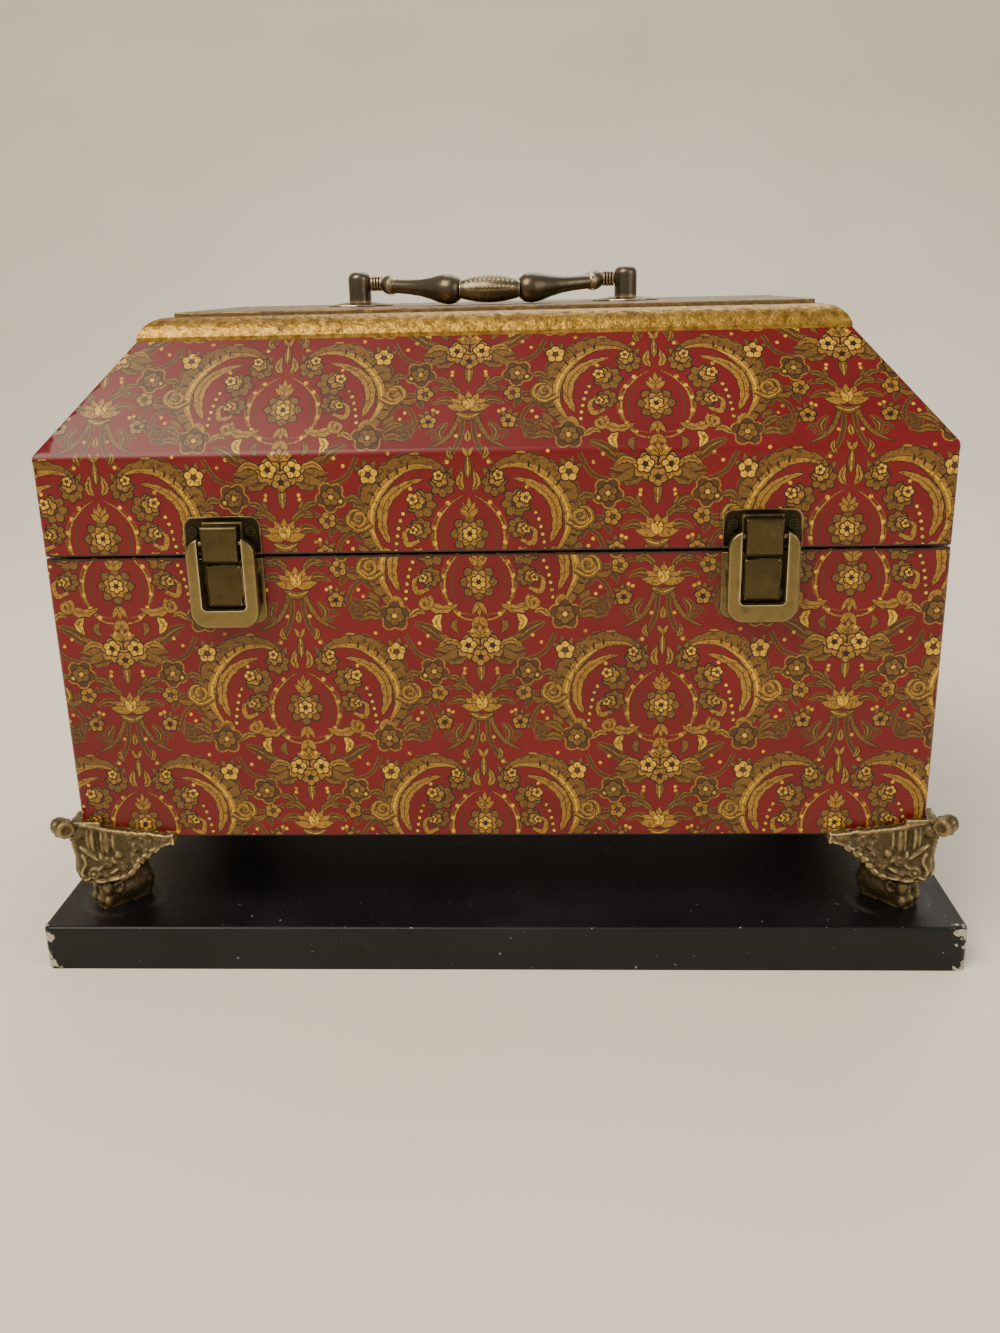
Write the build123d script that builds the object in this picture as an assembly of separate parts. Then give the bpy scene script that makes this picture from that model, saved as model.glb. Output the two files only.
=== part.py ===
from build123d import *
import math
import os

# A paper-covered wooden casket on four cast corner feet, glued to a black board.
# Millimetres. +X runs along the width, the front looks along -Y, +Z is up.
# The origin is the middle of the board's underside.

# Board under the feet
board_thickness = 20.0
board_overhang = 16.5
board_edge_radius = 1.6

# Case and its liner
case_width = 356.0
case_depth = 210.0
case_height = 121.0
wall = 7.0
bottom_thickness = 4.0
corner_radius = 2.0
lip_thickness = 3.0
lip_height = 20.0
lip_rise = 3.0
lip_clearance = 0.6

# Lid
lid_gap = 1.2
rim_height = 39.0
slope_run = 35.0
slope_rise = 41.3
slope_thickness = 5.0
knee_radius = 5.0
moulding_height = 9.0
moulding_width = 13.0
moulding_fillet = 1.6
moulding_round = 11.5
top_board_thickness = 1.8
top_board_margin = 0.8
lid_panel_thickness = 5.0

# Corner feet, measured from the case's bottom corner
foot_height = 35.0
foot_proud = 4.0
foot_shelf = 9.0
foot_wing = 40.0
foot_lip_rise = 8.0
foot_neck_drop = 20.5
foot_root_width = 20.0
foot_root_length = 25.0
foot_neck_width = 12.0
foot_neck_length = 22.0
foot_neck_start = 4.2
foot_toe_width = 13.4
foot_toe_length = 25.0
foot_toe_start = 3.2
foot_toe_drop = 28.0
foot_sole_width = 11.6
foot_sole_length = 23.0
foot_sole_start = 2.8
volute_radius = 3.9
volute_length = 7.4
volute_offset = 6.1
volute_rise = 6.6

# Bail handle on the lid
post_spacing = 119.6
handle_shift = -1.9
post_radius = 5.0
post_height = 14.6
post_dome = 3.2
rosette_radius = 15.0
rosette_thickness = 1.6
pin_height = 9.5
pin_radius = 2.0
pin_depth = 5.2
bail_drop = 22.0
bead_radius = 5.9
bead_neck = 4.0
bead_half = 13.0
ball_radius = 6.3
ball_place = 17.5
ball_drop = 20.2
ring_bead_radius = 4.0
ring_bead_length = 6.0
tube_end_radius = 2.8
stub_radius = 2.9
elbow_radius = 3.1
neck_radius = 2.6
elbow_place = 48.0
collar_place = 43.5
collar_drop = 8.0
stud_radius = 2.0
washer_radius = 4.5
washer_thickness = 0.8
nut_flats = 7.0
nut_thickness = 3.2
stud_end = 1.0

# Latches on the front, measured from the split between case and lid
latch_end_margin = 72.7
latch_width = 30.4
latch_plate_thickness = 1.0
latch_plate_radius = 4.0
latch_edge_gap = 0.3
lid_plate_height = 15.0
case_plate_height = 26.2
cap_width = 14.6
cap_height = 14.1
cap_depth = 7.6
cap_round = 1.4
cap_overhang = 1.9
cap_overhang_gap = 0.5
catch_width = 14.6
catch_height = 17.2
catch_drop = 1.9
catch_depth = 4.5
catch_round = 1.2
swing_width = 27.2
swing_height = 36.0
swing_band = 4.8
swing_foot_band = 7.2
swing_back = 5.0
swing_thickness = 3.0
swing_radius = 6.5
swing_axis_rise = 5.6
swing_axis_out = 5.3
swing_pin_radius = 1.0
swing_pin_depth = 3.0
swing_side_gap = 1.5
swing_shoulder = 2.2

# Butt hinges on the back
hinge_end_margin = 68.0
hinge_width = 30.0
hinge_leaf_height = 15.0
hinge_leaf_thickness = 1.2
hinge_barrel_radius = 2.6
hinge_pin_radius = 1.2
hinge_knuckles = 5
hinge_knuckle_gap = 0.3
hinge_wall_gap = 0.3

# Small screws
screw_head_radius = 1.9
screw_head_height = 0.9
screw_shank_radius = 1.0
screw_length = 5.5
screw_clearance = 0.03

# Fits
running_fit = 0.05
stud_clearance = 0.15
seat_gap = 0.3

# Levels and half sizes that follow
half_width = case_width / 2
half_depth = case_depth / 2
case_floor = board_thickness + foot_height
case_top = case_floor + case_height
lid_floor = case_top + lid_gap
knee = lid_floor + rim_height
slope_top = knee + slope_rise
moulding_top = slope_top + moulding_height
lid_top_level = moulding_top + top_board_thickness
lid_wall = wall - lip_clearance
slope_angle = math.atan2(slope_rise, slope_run)
slope_across = slope_thickness / math.sin(slope_angle)
moulding_inset = slope_run + moulding_width
split = (case_top + lid_floor) / 2
latch_spacing = case_width - 2 * latch_end_margin
hinge_spacing = case_width - 2 * hinge_end_margin
sides = ("front", "back", "left", "right")
hands = {"left": -1, "right": 1}
through = 400.0


def slab(width, depth, low, high):
    """A box centred on the Z axis between two levels."""
    return Pos(0, 0, (low + high) / 2) * Box(width, depth, high - low)


def frame_ring(width, depth, thickness, low, high):
    """A four-sided frame of boards standing between two levels."""
    outer = slab(width, depth, low, high)
    return outer - slab(width - 2 * thickness, depth - 2 * thickness, low - 1, high + 1)


def quarter(side):
    """The plan of one side, mitred at 45 degrees from each corner."""
    w = half_width + through
    d = half_depth + through
    ridge = half_width - half_depth
    plans = {
        "front": [(-w, -d), (w, -d), (ridge, 0), (-ridge, 0)],
        "back": [(w, d), (-w, d), (-ridge, 0), (ridge, 0)],
        "left": [(-w, d), (-w, -d), (-ridge, 0)],
        "right": [(w, -d), (w, d), (ridge, 0)],
    }
    plan = Polyline(*plans[side], close=True)
    return extrude(make_face(plan), through * 2)


def mitred(ring, side):
    """One board of a four-sided frame."""
    return ring & quarter(side)


def disc_x(radius, start, end, y, z):
    """A round bar along X."""
    return Pos((start + end) / 2, y, z) * Rot(0, 90, 0) * Cylinder(radius, abs(end - start))


def disc_y(radius, start, end, x, z):
    """A round bar along Y."""
    return Pos(x, (start + end) / 2, z) * Rot(90, 0, 0) * Cylinder(radius, abs(end - start))


def screw_places():
    """The screws by wall: where each enters, which way its head looks and its seat."""
    front = -half_depth - latch_plate_thickness
    back = half_depth + hinge_leaf_thickness
    lid_rise = lid_floor + latch_edge_gap + lid_plate_height * 0.62
    case_drop = case_top - case_plate_height * 0.5
    leaf_middle = hinge_barrel_radius + (hinge_leaf_height - hinge_barrel_radius) * 0.5
    places = {"latch_lid": [], "latch_case": [], "hinge_lid": [], "hinge_case": []}
    for hand in hands.values():
        middle = hand * latch_spacing / 2
        for x in (middle - latch_width * 0.38, middle + latch_width * 0.38):
            places["latch_lid"].append((x, front, lid_rise, -1))
            places["latch_case"].append((x, front, case_drop, -1))
        middle = hand * hinge_spacing / 2
        for x in (middle - hinge_width * 0.33, middle + hinge_width * 0.33):
            places["hinge_lid"].append((x, back, split + leaf_middle, 1))
            places["hinge_case"].append((x, back, split - leaf_middle, 1))
    return places


def screw_bars(group, radius):
    """Bars along the screws' shanks, as the holes for them."""
    bars = []
    for x, seat, z, out in screw_places()[group]:
        bars.append(disc_y(radius, seat + out * screw_head_height, seat - out * screw_length, x, z))
    return bars


def bored(shape, *groups):
    """A piece with the holes for the screws that pass through it."""
    for group in groups:
        for bar in screw_bars(group, screw_shank_radius + screw_clearance):
            shape = shape - bar
    return shape


def make_screws(group):
    """Pan-headed screws, each a separate solid."""
    solids = []
    for x, seat, z, out in screw_places()[group]:
        head = disc_y(screw_head_radius, seat, seat + out * screw_head_height, x, z)
        slot = Pos(x, seat + out * screw_head_height, z) * Box(2 * screw_head_radius, 0.7, 0.5)
        shank = disc_y(screw_shank_radius, seat, seat - out * screw_length, x, z)
        solids.append(head + shank - slot)
    return Compound(children=solids)


def make_board():
    """The black board that the feet are glued to."""
    width = case_width + 2 * board_overhang
    depth = case_depth + 2 * board_overhang
    board = slab(width, depth, 0, board_thickness)
    board = fillet(board.edges().filter_by(Axis.Z), board_edge_radius * 2)
    return fillet(board.faces().sort_by(Axis.Z)[-1].edges(), board_edge_radius)


def foot_wing_outline():
    """A wing's side view: run from the corner against height from the case's floor."""
    neck = -foot_neck_drop
    lip = foot_lip_rise
    return [
        (-foot_proud, lip),
        (foot_wing * 0.22, lip * 0.7),
        (foot_wing * 0.4, lip * 0.54),
        (foot_wing * 0.88, lip * 0.28),
        (foot_wing, lip * 0.25),
        (foot_wing, neck * 0.13),
        (foot_wing * 0.85, neck * 0.18),
        (foot_wing * 0.78, neck * 0.32),
        (foot_wing * 0.66, neck * 0.45),
        (foot_wing * 0.57, neck * 0.67),
        (foot_wing * 0.42, neck * 0.86),
        (foot_wing * 0.22, neck),
        (0, neck),
        (-foot_proud * 0.7, neck * 0.75),
        (-foot_proud * 0.6, neck * 0.4),
    ]


def foot_section(width, length, start, level):
    """A rounded section that lies along the corner's diagonal, from a start inside the corner."""
    middle = (start + length / 2) / math.sqrt(2)
    plane = Plane(origin=(middle, middle, level), x_dir=(1, 1, 0), z_dir=(0, 0, 1))
    return plane * RectangleRounded(length, width, width * 0.3)


def make_corner_foot():
    """A foot for the corner at the origin: the case lies at +X, +Y and above."""
    outline = make_face(Polyline(*foot_wing_outline(), close=True))
    wing = extrude(Plane.XZ * outline, -(foot_shelf + foot_proud))
    wing = Pos(0, -foot_proud, 0) * wing
    foot = wing + mirror(wing, Plane(origin=(0, 0, 0), z_dir=(1, -1, 0)))
    shelf_reach = foot_wing * 2
    case_corner = Pos(shelf_reach / 2, shelf_reach / 2, shelf_reach / 2) * Box(
        shelf_reach, shelf_reach, shelf_reach)
    root = foot_section(foot_root_width, foot_root_length, 0, -foot_neck_drop * 0.5)
    neck = foot_section(foot_neck_width, foot_neck_length, foot_neck_start, -foot_neck_drop)
    bulge = foot_section(foot_toe_width, foot_toe_length, foot_toe_start, -foot_toe_drop)
    sole = foot_section(foot_sole_width, foot_sole_length, foot_sole_start, -foot_height)
    toe = loft([root, neck]) + loft([neck, bulge]) + loft([bulge, sole])
    volute = Pos(-volute_offset, -volute_offset, volute_rise) * Rot(0, 0, -45) * Rot(0, 90, 0)
    volute = volute * Cylinder(volute_radius, volute_length)
    return foot + toe + volute - case_corner


def make_foot(end, hand):
    """The foot at one corner: end is -1 at the front, hand is -1 at the left."""
    foot = make_corner_foot()
    if hand > 0:
        foot = mirror(foot, Plane.YZ)
    if end > 0:
        foot = mirror(foot, Plane.XZ)
    return Pos(hand * half_width, end * half_depth, case_floor) * foot


def case_shell():
    """The four case walls in one ring, with rounded upright corners."""
    outer = slab(case_width, case_depth, case_floor, case_top)
    outer = fillet(outer.edges().filter_by(Axis.Z), corner_radius)
    inside = slab(case_width - 2 * wall, case_depth - 2 * wall, case_floor - 1, case_top + 1)
    return bored(outer - inside, "latch_case", "hinge_case")


def make_case_bottom():
    """The panel between the walls."""
    return slab(case_width - 2 * wall, case_depth - 2 * wall,
                case_floor, case_floor + bottom_thickness)


def lip_ring():
    """The liner strips, glued inside the walls and standing above them."""
    ring = frame_ring(case_width - 2 * wall, case_depth - 2 * wall, lip_thickness,
                      case_top + lip_rise - lip_height, case_top + lip_rise)
    for group in ("latch_case", "hinge_case"):
        for bar in screw_bars(group, screw_shank_radius + screw_clearance):
            ring = ring - bar
    return ring


def frustum(width, depth, low, run, high):
    """A block whose four sides lean in by run between two levels."""
    base = Pos(0, 0, low) * Rectangle(width, depth)
    head = Pos(0, 0, high) * Rectangle(width - 2 * run, depth - 2 * run)
    return loft([base, head])


def lid_shell():
    """The lid's rim and slopes in one piece, rounded at the knee and corners."""
    outer = slab(case_width, case_depth, lid_floor, knee)
    outer = outer + frustum(case_width, case_depth, knee, slope_run, slope_top)
    knee_edges = outer.edges().filter_by_position(Axis.Z, knee - 0.1, knee + 0.1)
    outer = fillet(knee_edges, knee_radius)
    upright = outer.edges().filter_by(Axis.Z)
    outer = fillet(upright, corner_radius)
    inner_width = case_width - 2 * lid_wall
    inner_depth = case_depth - 2 * lid_wall
    inner_knee = knee - (slope_across - lid_wall) * math.tan(slope_angle)
    lean = (slope_top - inner_knee) / math.tan(slope_angle)
    hollow = slab(inner_width, inner_depth, lid_floor - 1, inner_knee)
    hollow = hollow + frustum(inner_width, inner_depth, inner_knee, lean, slope_top)
    return bored(outer - hollow, "latch_lid", "hinge_lid")


def moulding_outline():
    """The cushion moulding's section: inset from the slope's edge against height."""
    return [
        (0, 0),
        (0, moulding_fillet),
        (moulding_round, moulding_height),
        (moulding_width, moulding_height),
        (moulding_width, 0),
    ]


def make_moulding(side):
    """One gilt cushion moulding, mitred at both ends."""
    along = case_depth if side in ("left", "right") else case_width
    corner, toe, crown, back_top, back_foot = moulding_outline()
    bulge = (moulding_round * 0.3, moulding_height * 0.72)
    profile = Polyline(crown, back_top, back_foot, corner, toe)
    profile = profile + ThreePointArc(toe, bulge, crown)
    section = extrude(Plane.XZ * make_face(profile), along)
    section = Pos(0, along / 2, 0) * section
    turn = {"left": 0, "front": 90, "right": 180, "back": 270}[side]
    reach = (half_width if side in ("left", "right") else half_depth) - slope_run
    strip = Rot(0, 0, turn) * Pos(-reach, 0, slope_top) * section
    return mitred(strip, side)


def stud_holes(shape):
    """The two holes that a handle's studs pass through."""
    for hand in hands.values():
        x = handle_shift + hand * post_spacing / 2
        shape = shape - Pos(x, 0, moulding_top) * Cylinder(stud_radius + stud_clearance, 60)
    return shape


def make_lid_panel():
    """The panel that closes the lid between the mouldings."""
    width = case_width - 2 * moulding_inset
    depth = case_depth - 2 * moulding_inset
    return stud_holes(slab(width, depth, moulding_top - lid_panel_thickness, moulding_top))


def make_top_board():
    """The thin gilt board on top."""
    inset = slope_run + moulding_round + top_board_margin
    board = slab(case_width - 2 * inset, case_depth - 2 * inset, moulding_top, lid_top_level)
    board = fillet(board.edges().filter_by(Axis.Z), corner_radius)
    return stud_holes(fillet(board.faces().sort_by(Axis.Z)[-1].edges(), 0.6))


def make_rosette(hand):
    """The round plate under a handle post, with a stepped edge."""
    step = rosette_thickness / 2
    x = handle_shift + hand * post_spacing / 2
    rim = Pos(x, 0, lid_top_level + step / 2) * Cylinder(rosette_radius, step)
    crown = Pos(x, 0, lid_top_level + step * 1.5) * Cylinder(rosette_radius * 0.72, step)
    return rim + crown - Pos(x, 0, lid_top_level) * Cylinder(stud_radius + stud_clearance, 20)


def make_post(hand):
    """A handle post with its threaded stud, bored for the bail's pin."""
    x = handle_shift + hand * post_spacing / 2
    foot = lid_top_level + rosette_thickness
    head = lid_top_level + post_height
    post = Pos(x, 0, (foot + head) / 2) * Cylinder(post_radius, head - foot)
    post = fillet(post.faces().sort_by(Axis.Z)[-1].edges(), post_dome)
    below = moulding_top - lid_panel_thickness - washer_thickness - nut_thickness - stud_end
    stud = Pos(x, 0, (foot + below) / 2) * Cylinder(stud_radius, foot - below)
    mouth = x - hand * post_radius
    hole = disc_x(pin_radius + running_fit, mouth - hand, mouth + hand * (pin_depth + seat_gap),
                  0, lid_top_level + pin_height)
    return post + stud - hole


def make_washers():
    """The washers inside the lid, one on each stud."""
    level = moulding_top - lid_panel_thickness - washer_thickness / 2
    washers = []
    for hand in hands.values():
        ring = Cylinder(washer_radius, washer_thickness)
        ring = ring - Cylinder(stud_radius + stud_clearance, washer_thickness * 2)
        washers.append(Pos(handle_shift + hand * post_spacing / 2, 0, level) * ring)
    return Compound(children=washers)


def make_nuts():
    """The nuts inside the lid, one on each stud."""
    level = moulding_top - lid_panel_thickness - washer_thickness - nut_thickness
    nuts = []
    for hand in hands.values():
        nut = extrude(RegularPolygon(nut_flats / 2, 6, major_radius=False), nut_thickness)
        nut = nut - Cylinder(stud_radius + running_fit, nut_thickness * 4)
        nuts.append(Pos(handle_shift + hand * post_spacing / 2, 0, level) * nut)
    return Compound(children=nuts)


def lathe(points, start, end):
    """A turned piece on the line from start to end: points are (along, radius)."""
    axis = Vector(*end) - Vector(*start)
    outline = [(along, radius) for along, radius in points]
    length_side = [(outline[-1][0], 0), (outline[0][0], 0)]
    face = make_face(Polyline(*outline, *length_side, close=True))
    turned = revolve(face, Axis.X)
    return Plane(origin=start, x_dir=axis, z_dir=(0, 0, 1)) * turned


def turned_ball(radius, centre, towards):
    """A bead turned in facets, with its poles on the line from centre to towards."""
    steps = 8
    outline = []
    for i in range(1, steps):
        angle = math.pi * i / steps
        outline.append((-radius * math.cos(angle), radius * math.sin(angle)))
    return lathe(outline, centre, towards)


def bead_outline():
    """Half outline of the middle bead, an oval between two necks."""
    steps = 8
    points = []
    for i in range(steps + 1):
        along = -bead_half + 2 * bead_half * i / steps
        swell = math.sqrt(1 - (along / bead_half) ** 2 * 0.999)
        points.append((along, bead_neck + (bead_radius - bead_neck) * swell))
    return points


def make_bail_arm(hand):
    """One side of the bail, lying in the XY plane: pin, elbow, ring bead and flared tube."""
    pin_end = post_spacing / 2 - post_radius + pin_depth
    pin = disc_x(pin_radius, hand * pin_end, hand * elbow_place, 0, 0)
    stub_end = post_spacing / 2 - post_radius - seat_gap
    stub = disc_x(stub_radius, hand * stub_end, hand * elbow_place, 0, 0)
    collar = (hand * collar_place, -collar_drop, 0)
    heel = (hand * elbow_place, 0, 0)
    elbow = turned_ball(elbow_radius, heel, collar)
    neck_length = math.hypot(elbow_place - collar_place, collar_drop)
    neck = lathe([(0, neck_radius), (neck_length, neck_radius)], heel, collar)
    middle = neck_length * 0.66
    half = ring_bead_length / 2
    bead = lathe([(middle - half, ring_bead_radius * 0.75), (middle - half * 0.4, ring_bead_radius),
                  (middle + half * 0.4, ring_bead_radius), (middle + half, ring_bead_radius * 0.75)],
                 heel, collar)
    ball_centre = (hand * ball_place, -ball_drop, 0)
    run = math.hypot(collar_place - ball_place, ball_drop - collar_drop)
    tube = lathe([(-elbow_radius * 0.4, tube_end_radius), (run * 0.45, tube_end_radius * 1.25),
                  (run * 0.75, ball_radius * 0.78), (run, ball_radius * 0.97)],
                 collar, ball_centre)
    ball = turned_ball(ball_radius, ball_centre, collar)
    return pin + stub + elbow + neck + bead + tube + ball


def bail_rest_angle():
    """How far the bail lies below level when its middle bead meets the lid."""
    return math.degrees(math.asin((pin_height - bead_radius - seat_gap) / bail_drop))


def make_bail():
    """The bail, lying forward on the lid."""
    bead = Pos(0, -bail_drop, 0) * revolve(
        make_face(Polyline(*bead_outline(), (bead_half, 0), (-bead_half, 0), close=True)), Axis.X)
    bail = make_bail_arm(-1) + make_bail_arm(1) + bead
    place = Pos(handle_shift, 0, lid_top_level + pin_height)
    return place * Rot(bail_rest_angle(), 0, 0) * bail


def latch_plate(low, high, x, rounded_up):
    """A thin plate on the front face, with its two outer corners rounded."""
    height = high - low
    plate = Box(latch_width, latch_plate_thickness, height)
    level = 1 if rounded_up else -1
    corners = plate.edges().filter_by(Axis.Y)
    corners = corners.sort_by(Axis.Z)[-2:] if level > 0 else corners.sort_by(Axis.Z)[:2]
    plate = fillet(corners, latch_plate_radius)
    return Pos(x, -half_depth - latch_plate_thickness / 2, (low + high) / 2) * plate


def swing_axis():
    """Where a latch's swinging frame turns: Y and Z."""
    return -half_depth - swing_axis_out, lid_floor + swing_axis_rise


def make_lid_plate(hand):
    """The lid's latch plate, with the raised cap that the frame swings in."""
    x = hand * latch_spacing / 2
    low = lid_floor + latch_edge_gap
    plate = latch_plate(low, low + lid_plate_height, x, True)
    cap = Box(cap_width, cap_depth, cap_height)
    cap = fillet(cap.faces().sort_by(Axis.Y)[0].edges(), cap_round)
    cap = Pos(x, -half_depth - cap_depth / 2, low - cap_overhang + cap_height / 2) * cap
    relief = 2 * (latch_plate_thickness + cap_overhang_gap)
    cap = cap - Pos(x, -half_depth, low - cap_height / 2) * Box(2 * cap_width, relief, cap_height)
    y, z = swing_axis()
    for side in (-1, 1):
        face = x + side * cap_width / 2
        bore = disc_x(swing_pin_radius + running_fit, face + side,
                      face - side * (swing_pin_depth + seat_gap), y, z)
        cap = cap - bore
    return bored(plate + cap, "latch_lid")


def make_case_plate(hand):
    """The case's latch plate."""
    high = case_top - latch_edge_gap
    plate = latch_plate(high - case_plate_height, high, hand * latch_spacing / 2, False)
    return bored(plate, "latch_case")


def make_catch(hand):
    """The pressed catch that the swinging frame snaps over."""
    depth = catch_depth - latch_plate_thickness
    catch = Box(catch_width, depth, catch_height)
    catch = fillet(catch.faces().sort_by(Axis.Y)[0].edges(), catch_round)
    high = case_top - catch_drop
    y = -half_depth - latch_plate_thickness - depth / 2
    return Pos(hand * latch_spacing / 2, y, high - catch_height / 2) * catch


def make_swing(hand):
    """The latch's swinging frame: a rounded loop, open at the top, with two pins."""
    x = hand * latch_spacing / 2
    y, z = swing_axis()
    high = z + swing_shoulder
    low = high - swing_height
    front = -half_depth - swing_back - swing_thickness
    outer = Plane(origin=(x, front, (high + low) / 2), z_dir=(0, 1, 0), x_dir=(1, 0, 0))
    blank = extrude(outer * RectangleRounded(swing_width, swing_height, swing_radius),
                    swing_thickness)
    bevel_edges = blank.faces().sort_by(Axis.Y)[0].edges()
    blank = fillet(bevel_edges, 0.9)
    hole_low = low + swing_foot_band
    hole_height = high - hole_low - 2 * swing_shoulder
    window = Plane(origin=(x, front, hole_low + hole_height / 2), z_dir=(0, 1, 0), x_dir=(1, 0, 0))
    window = extrude(window * RectangleRounded(swing_width - 2 * swing_band, hole_height, 1.8),
                     swing_thickness)
    notch_width = cap_width + 2 * swing_side_gap
    notch_low = hole_low + hole_height / 2
    notch = Pos(x, front + swing_thickness / 2, (notch_low + high + 2) / 2) * Box(
        notch_width, swing_thickness * 3, high + 2 - notch_low)
    frame = blank - window - notch
    for side in (-1, 1):
        face = x + side * cap_width / 2
        root = face + side * (swing_side_gap + 1.5)
        frame = frame + disc_x(swing_pin_radius, root, face - side * swing_pin_depth, y, z)
    return frame


def hinge_axis():
    """The hinge pins' line: Y and Z."""
    return half_depth + hinge_wall_gap + hinge_barrel_radius, split


def make_leaf(hand, up):
    """One hinge leaf with its knuckles: up is 1 on the lid, -1 on the case."""
    x = hand * hinge_spacing / 2
    y, z = hinge_axis()
    flat_y = half_depth + hinge_leaf_thickness / 2
    low = hinge_barrel_radius + hinge_knuckle_gap
    leaf = Pos(x, flat_y, z + up * (low + hinge_leaf_height) / 2) * Box(
        hinge_width, hinge_leaf_thickness, hinge_leaf_height - low)
    pitch = hinge_width / hinge_knuckles
    web_low = lid_gap / 2
    web_out = (y - half_depth) * 0.6
    for i in range(hinge_knuckles):
        mine = (i % 2 == 0) == (up < 0)
        if not mine:
            continue
        start = x - hinge_width / 2 + i * pitch + hinge_knuckle_gap / 2
        end = start + pitch - hinge_knuckle_gap
        knuckle = disc_x(hinge_barrel_radius, start, end, y, z)
        web = Pos((start + end) / 2, half_depth + web_out / 2, z + up * (web_low + low) / 2) * Box(
            end - start, web_out, low - web_low)
        leaf = leaf + knuckle + web
    bore = disc_x(hinge_pin_radius + running_fit, x - hinge_width, x + hinge_width, y, z)
    screws = "hinge_lid" if up > 0 else "hinge_case"
    return bored(leaf - bore, screws)


def make_hinge_pin(hand):
    """A hinge pin through the five knuckles."""
    x = hand * hinge_spacing / 2
    y, z = hinge_axis()
    return disc_x(hinge_pin_radius, x - hinge_width / 2, x + hinge_width / 2, y, z)


def build_nodes():
    """Every node by name."""
    nodes = {"base_board": make_board(), "case_bottom": make_case_bottom()}
    case = case_shell()
    liner = lip_ring()
    lid = lid_shell()
    rim_zone = slab(through, through, lid_floor - 1, knee)
    slope_zone = slab(through, through, knee, slope_top + 1)
    rims = lid & rim_zone
    slopes = lid & slope_zone
    for side in sides:
        nodes["case_" + side] = mitred(case, side)
        nodes["case_lip_" + side] = mitred(liner, side)
        nodes["lid_rim_" + side] = mitred(rims, side)
        nodes["lid_slope_" + side] = mitred(slopes, side)
        nodes["moulding_" + side] = make_moulding(side)
    nodes["lid_panel"] = make_lid_panel()
    nodes["top_board"] = make_top_board()
    for name, hand in hands.items():
        nodes["foot_front_" + name] = make_foot(-1, hand)
        nodes["foot_back_" + name] = make_foot(1, hand)
        nodes["handle_rosette_" + name] = make_rosette(hand)
        nodes["handle_post_" + name] = make_post(hand)
        nodes["latch_lid_plate_" + name] = make_lid_plate(hand)
        nodes["latch_case_plate_" + name] = make_case_plate(hand)
        nodes["latch_catch_" + name] = make_catch(hand)
        nodes["latch_swing_" + name] = make_swing(hand)
        nodes["hinge_lid_leaf_" + name] = make_leaf(hand, 1)
        nodes["hinge_case_leaf_" + name] = make_leaf(hand, -1)
        nodes["hinge_pin_" + name] = make_hinge_pin(hand)
    nodes["handle_bail"] = make_bail()
    nodes["handle_washers"] = make_washers()
    nodes["handle_nuts"] = make_nuts()
    nodes["latch_lid_screws"] = make_screws("latch_lid")
    nodes["latch_case_screws"] = make_screws("latch_case")
    nodes["hinge_lid_screws"] = make_screws("hinge_lid")
    nodes["hinge_case_screws"] = make_screws("hinge_case")
    return nodes


os.makedirs("parts", exist_ok=True)
for name, shape in build_nodes().items():
    export_step(shape, "parts/" + name + ".step")
print("lid axis y z", hinge_axis(), "bail axis z", lid_top_level + pin_height,
      "bail rest", bail_rest_angle(), "swing axis y z", swing_axis())
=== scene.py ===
import bmesh
import bpy
import math
from mathutils import Matrix, Vector, noise
from mathutils.geometry import delaunay_2d_cdt


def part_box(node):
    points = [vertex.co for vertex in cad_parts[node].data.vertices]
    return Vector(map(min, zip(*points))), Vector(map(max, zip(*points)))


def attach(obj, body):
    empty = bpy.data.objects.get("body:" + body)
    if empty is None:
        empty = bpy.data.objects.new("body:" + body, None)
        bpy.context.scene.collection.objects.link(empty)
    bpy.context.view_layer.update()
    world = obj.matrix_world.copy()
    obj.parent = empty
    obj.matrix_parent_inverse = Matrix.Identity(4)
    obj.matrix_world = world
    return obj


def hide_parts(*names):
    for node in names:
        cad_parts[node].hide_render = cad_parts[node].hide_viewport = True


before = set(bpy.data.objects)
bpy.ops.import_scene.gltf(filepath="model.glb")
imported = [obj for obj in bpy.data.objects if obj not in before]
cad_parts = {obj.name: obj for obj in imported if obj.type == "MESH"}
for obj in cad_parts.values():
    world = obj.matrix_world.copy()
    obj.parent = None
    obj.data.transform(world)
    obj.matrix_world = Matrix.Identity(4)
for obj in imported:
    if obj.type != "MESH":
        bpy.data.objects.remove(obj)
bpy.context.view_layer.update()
mm = 0.001

# View: one camera before the middle of the box, level with its lid and looking down at it.
# The lens is a phone's, the phone is held upright, and the picture leans a little.
image_height = 1333
focal_pixels = 1200
sensor_mm = 36
camera_place = (0.0247, -0.5656, 0.2781)
pitch, yaw, roll = 17.84, 2.739, 1.348

bpy.ops.object.camera_add(location=camera_place)
camera = bpy.context.object
camera.name = "view_camera"
camera.data.sensor_width = sensor_mm
camera.data.lens = focal_pixels / image_height * sensor_mm
camera.data.clip_start = 0.01
turn = Matrix.Rotation(math.radians(yaw), 3, "Z")
turn = turn @ Matrix.Rotation(math.radians(90 - pitch), 3, "X")
turn = turn @ Matrix.Rotation(math.radians(-roll), 3, "Z")
camera.rotation_euler = turn.to_euler()
bpy.context.scene.camera = camera


# Floor: a sheet of pale matt seamless paper, laid under the box and turned up into a backdrop
# far behind it.
def linear(code):
    """A colour from its sRGB hex value."""
    parts = [int(code[i:i + 2], 16) / 255 for i in (1, 3, 5)]
    return [c / 12.92 if c <= 0.04045 else ((c + 0.055) / 1.055) ** 2.4 for c in parts] + [1.0]


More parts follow.
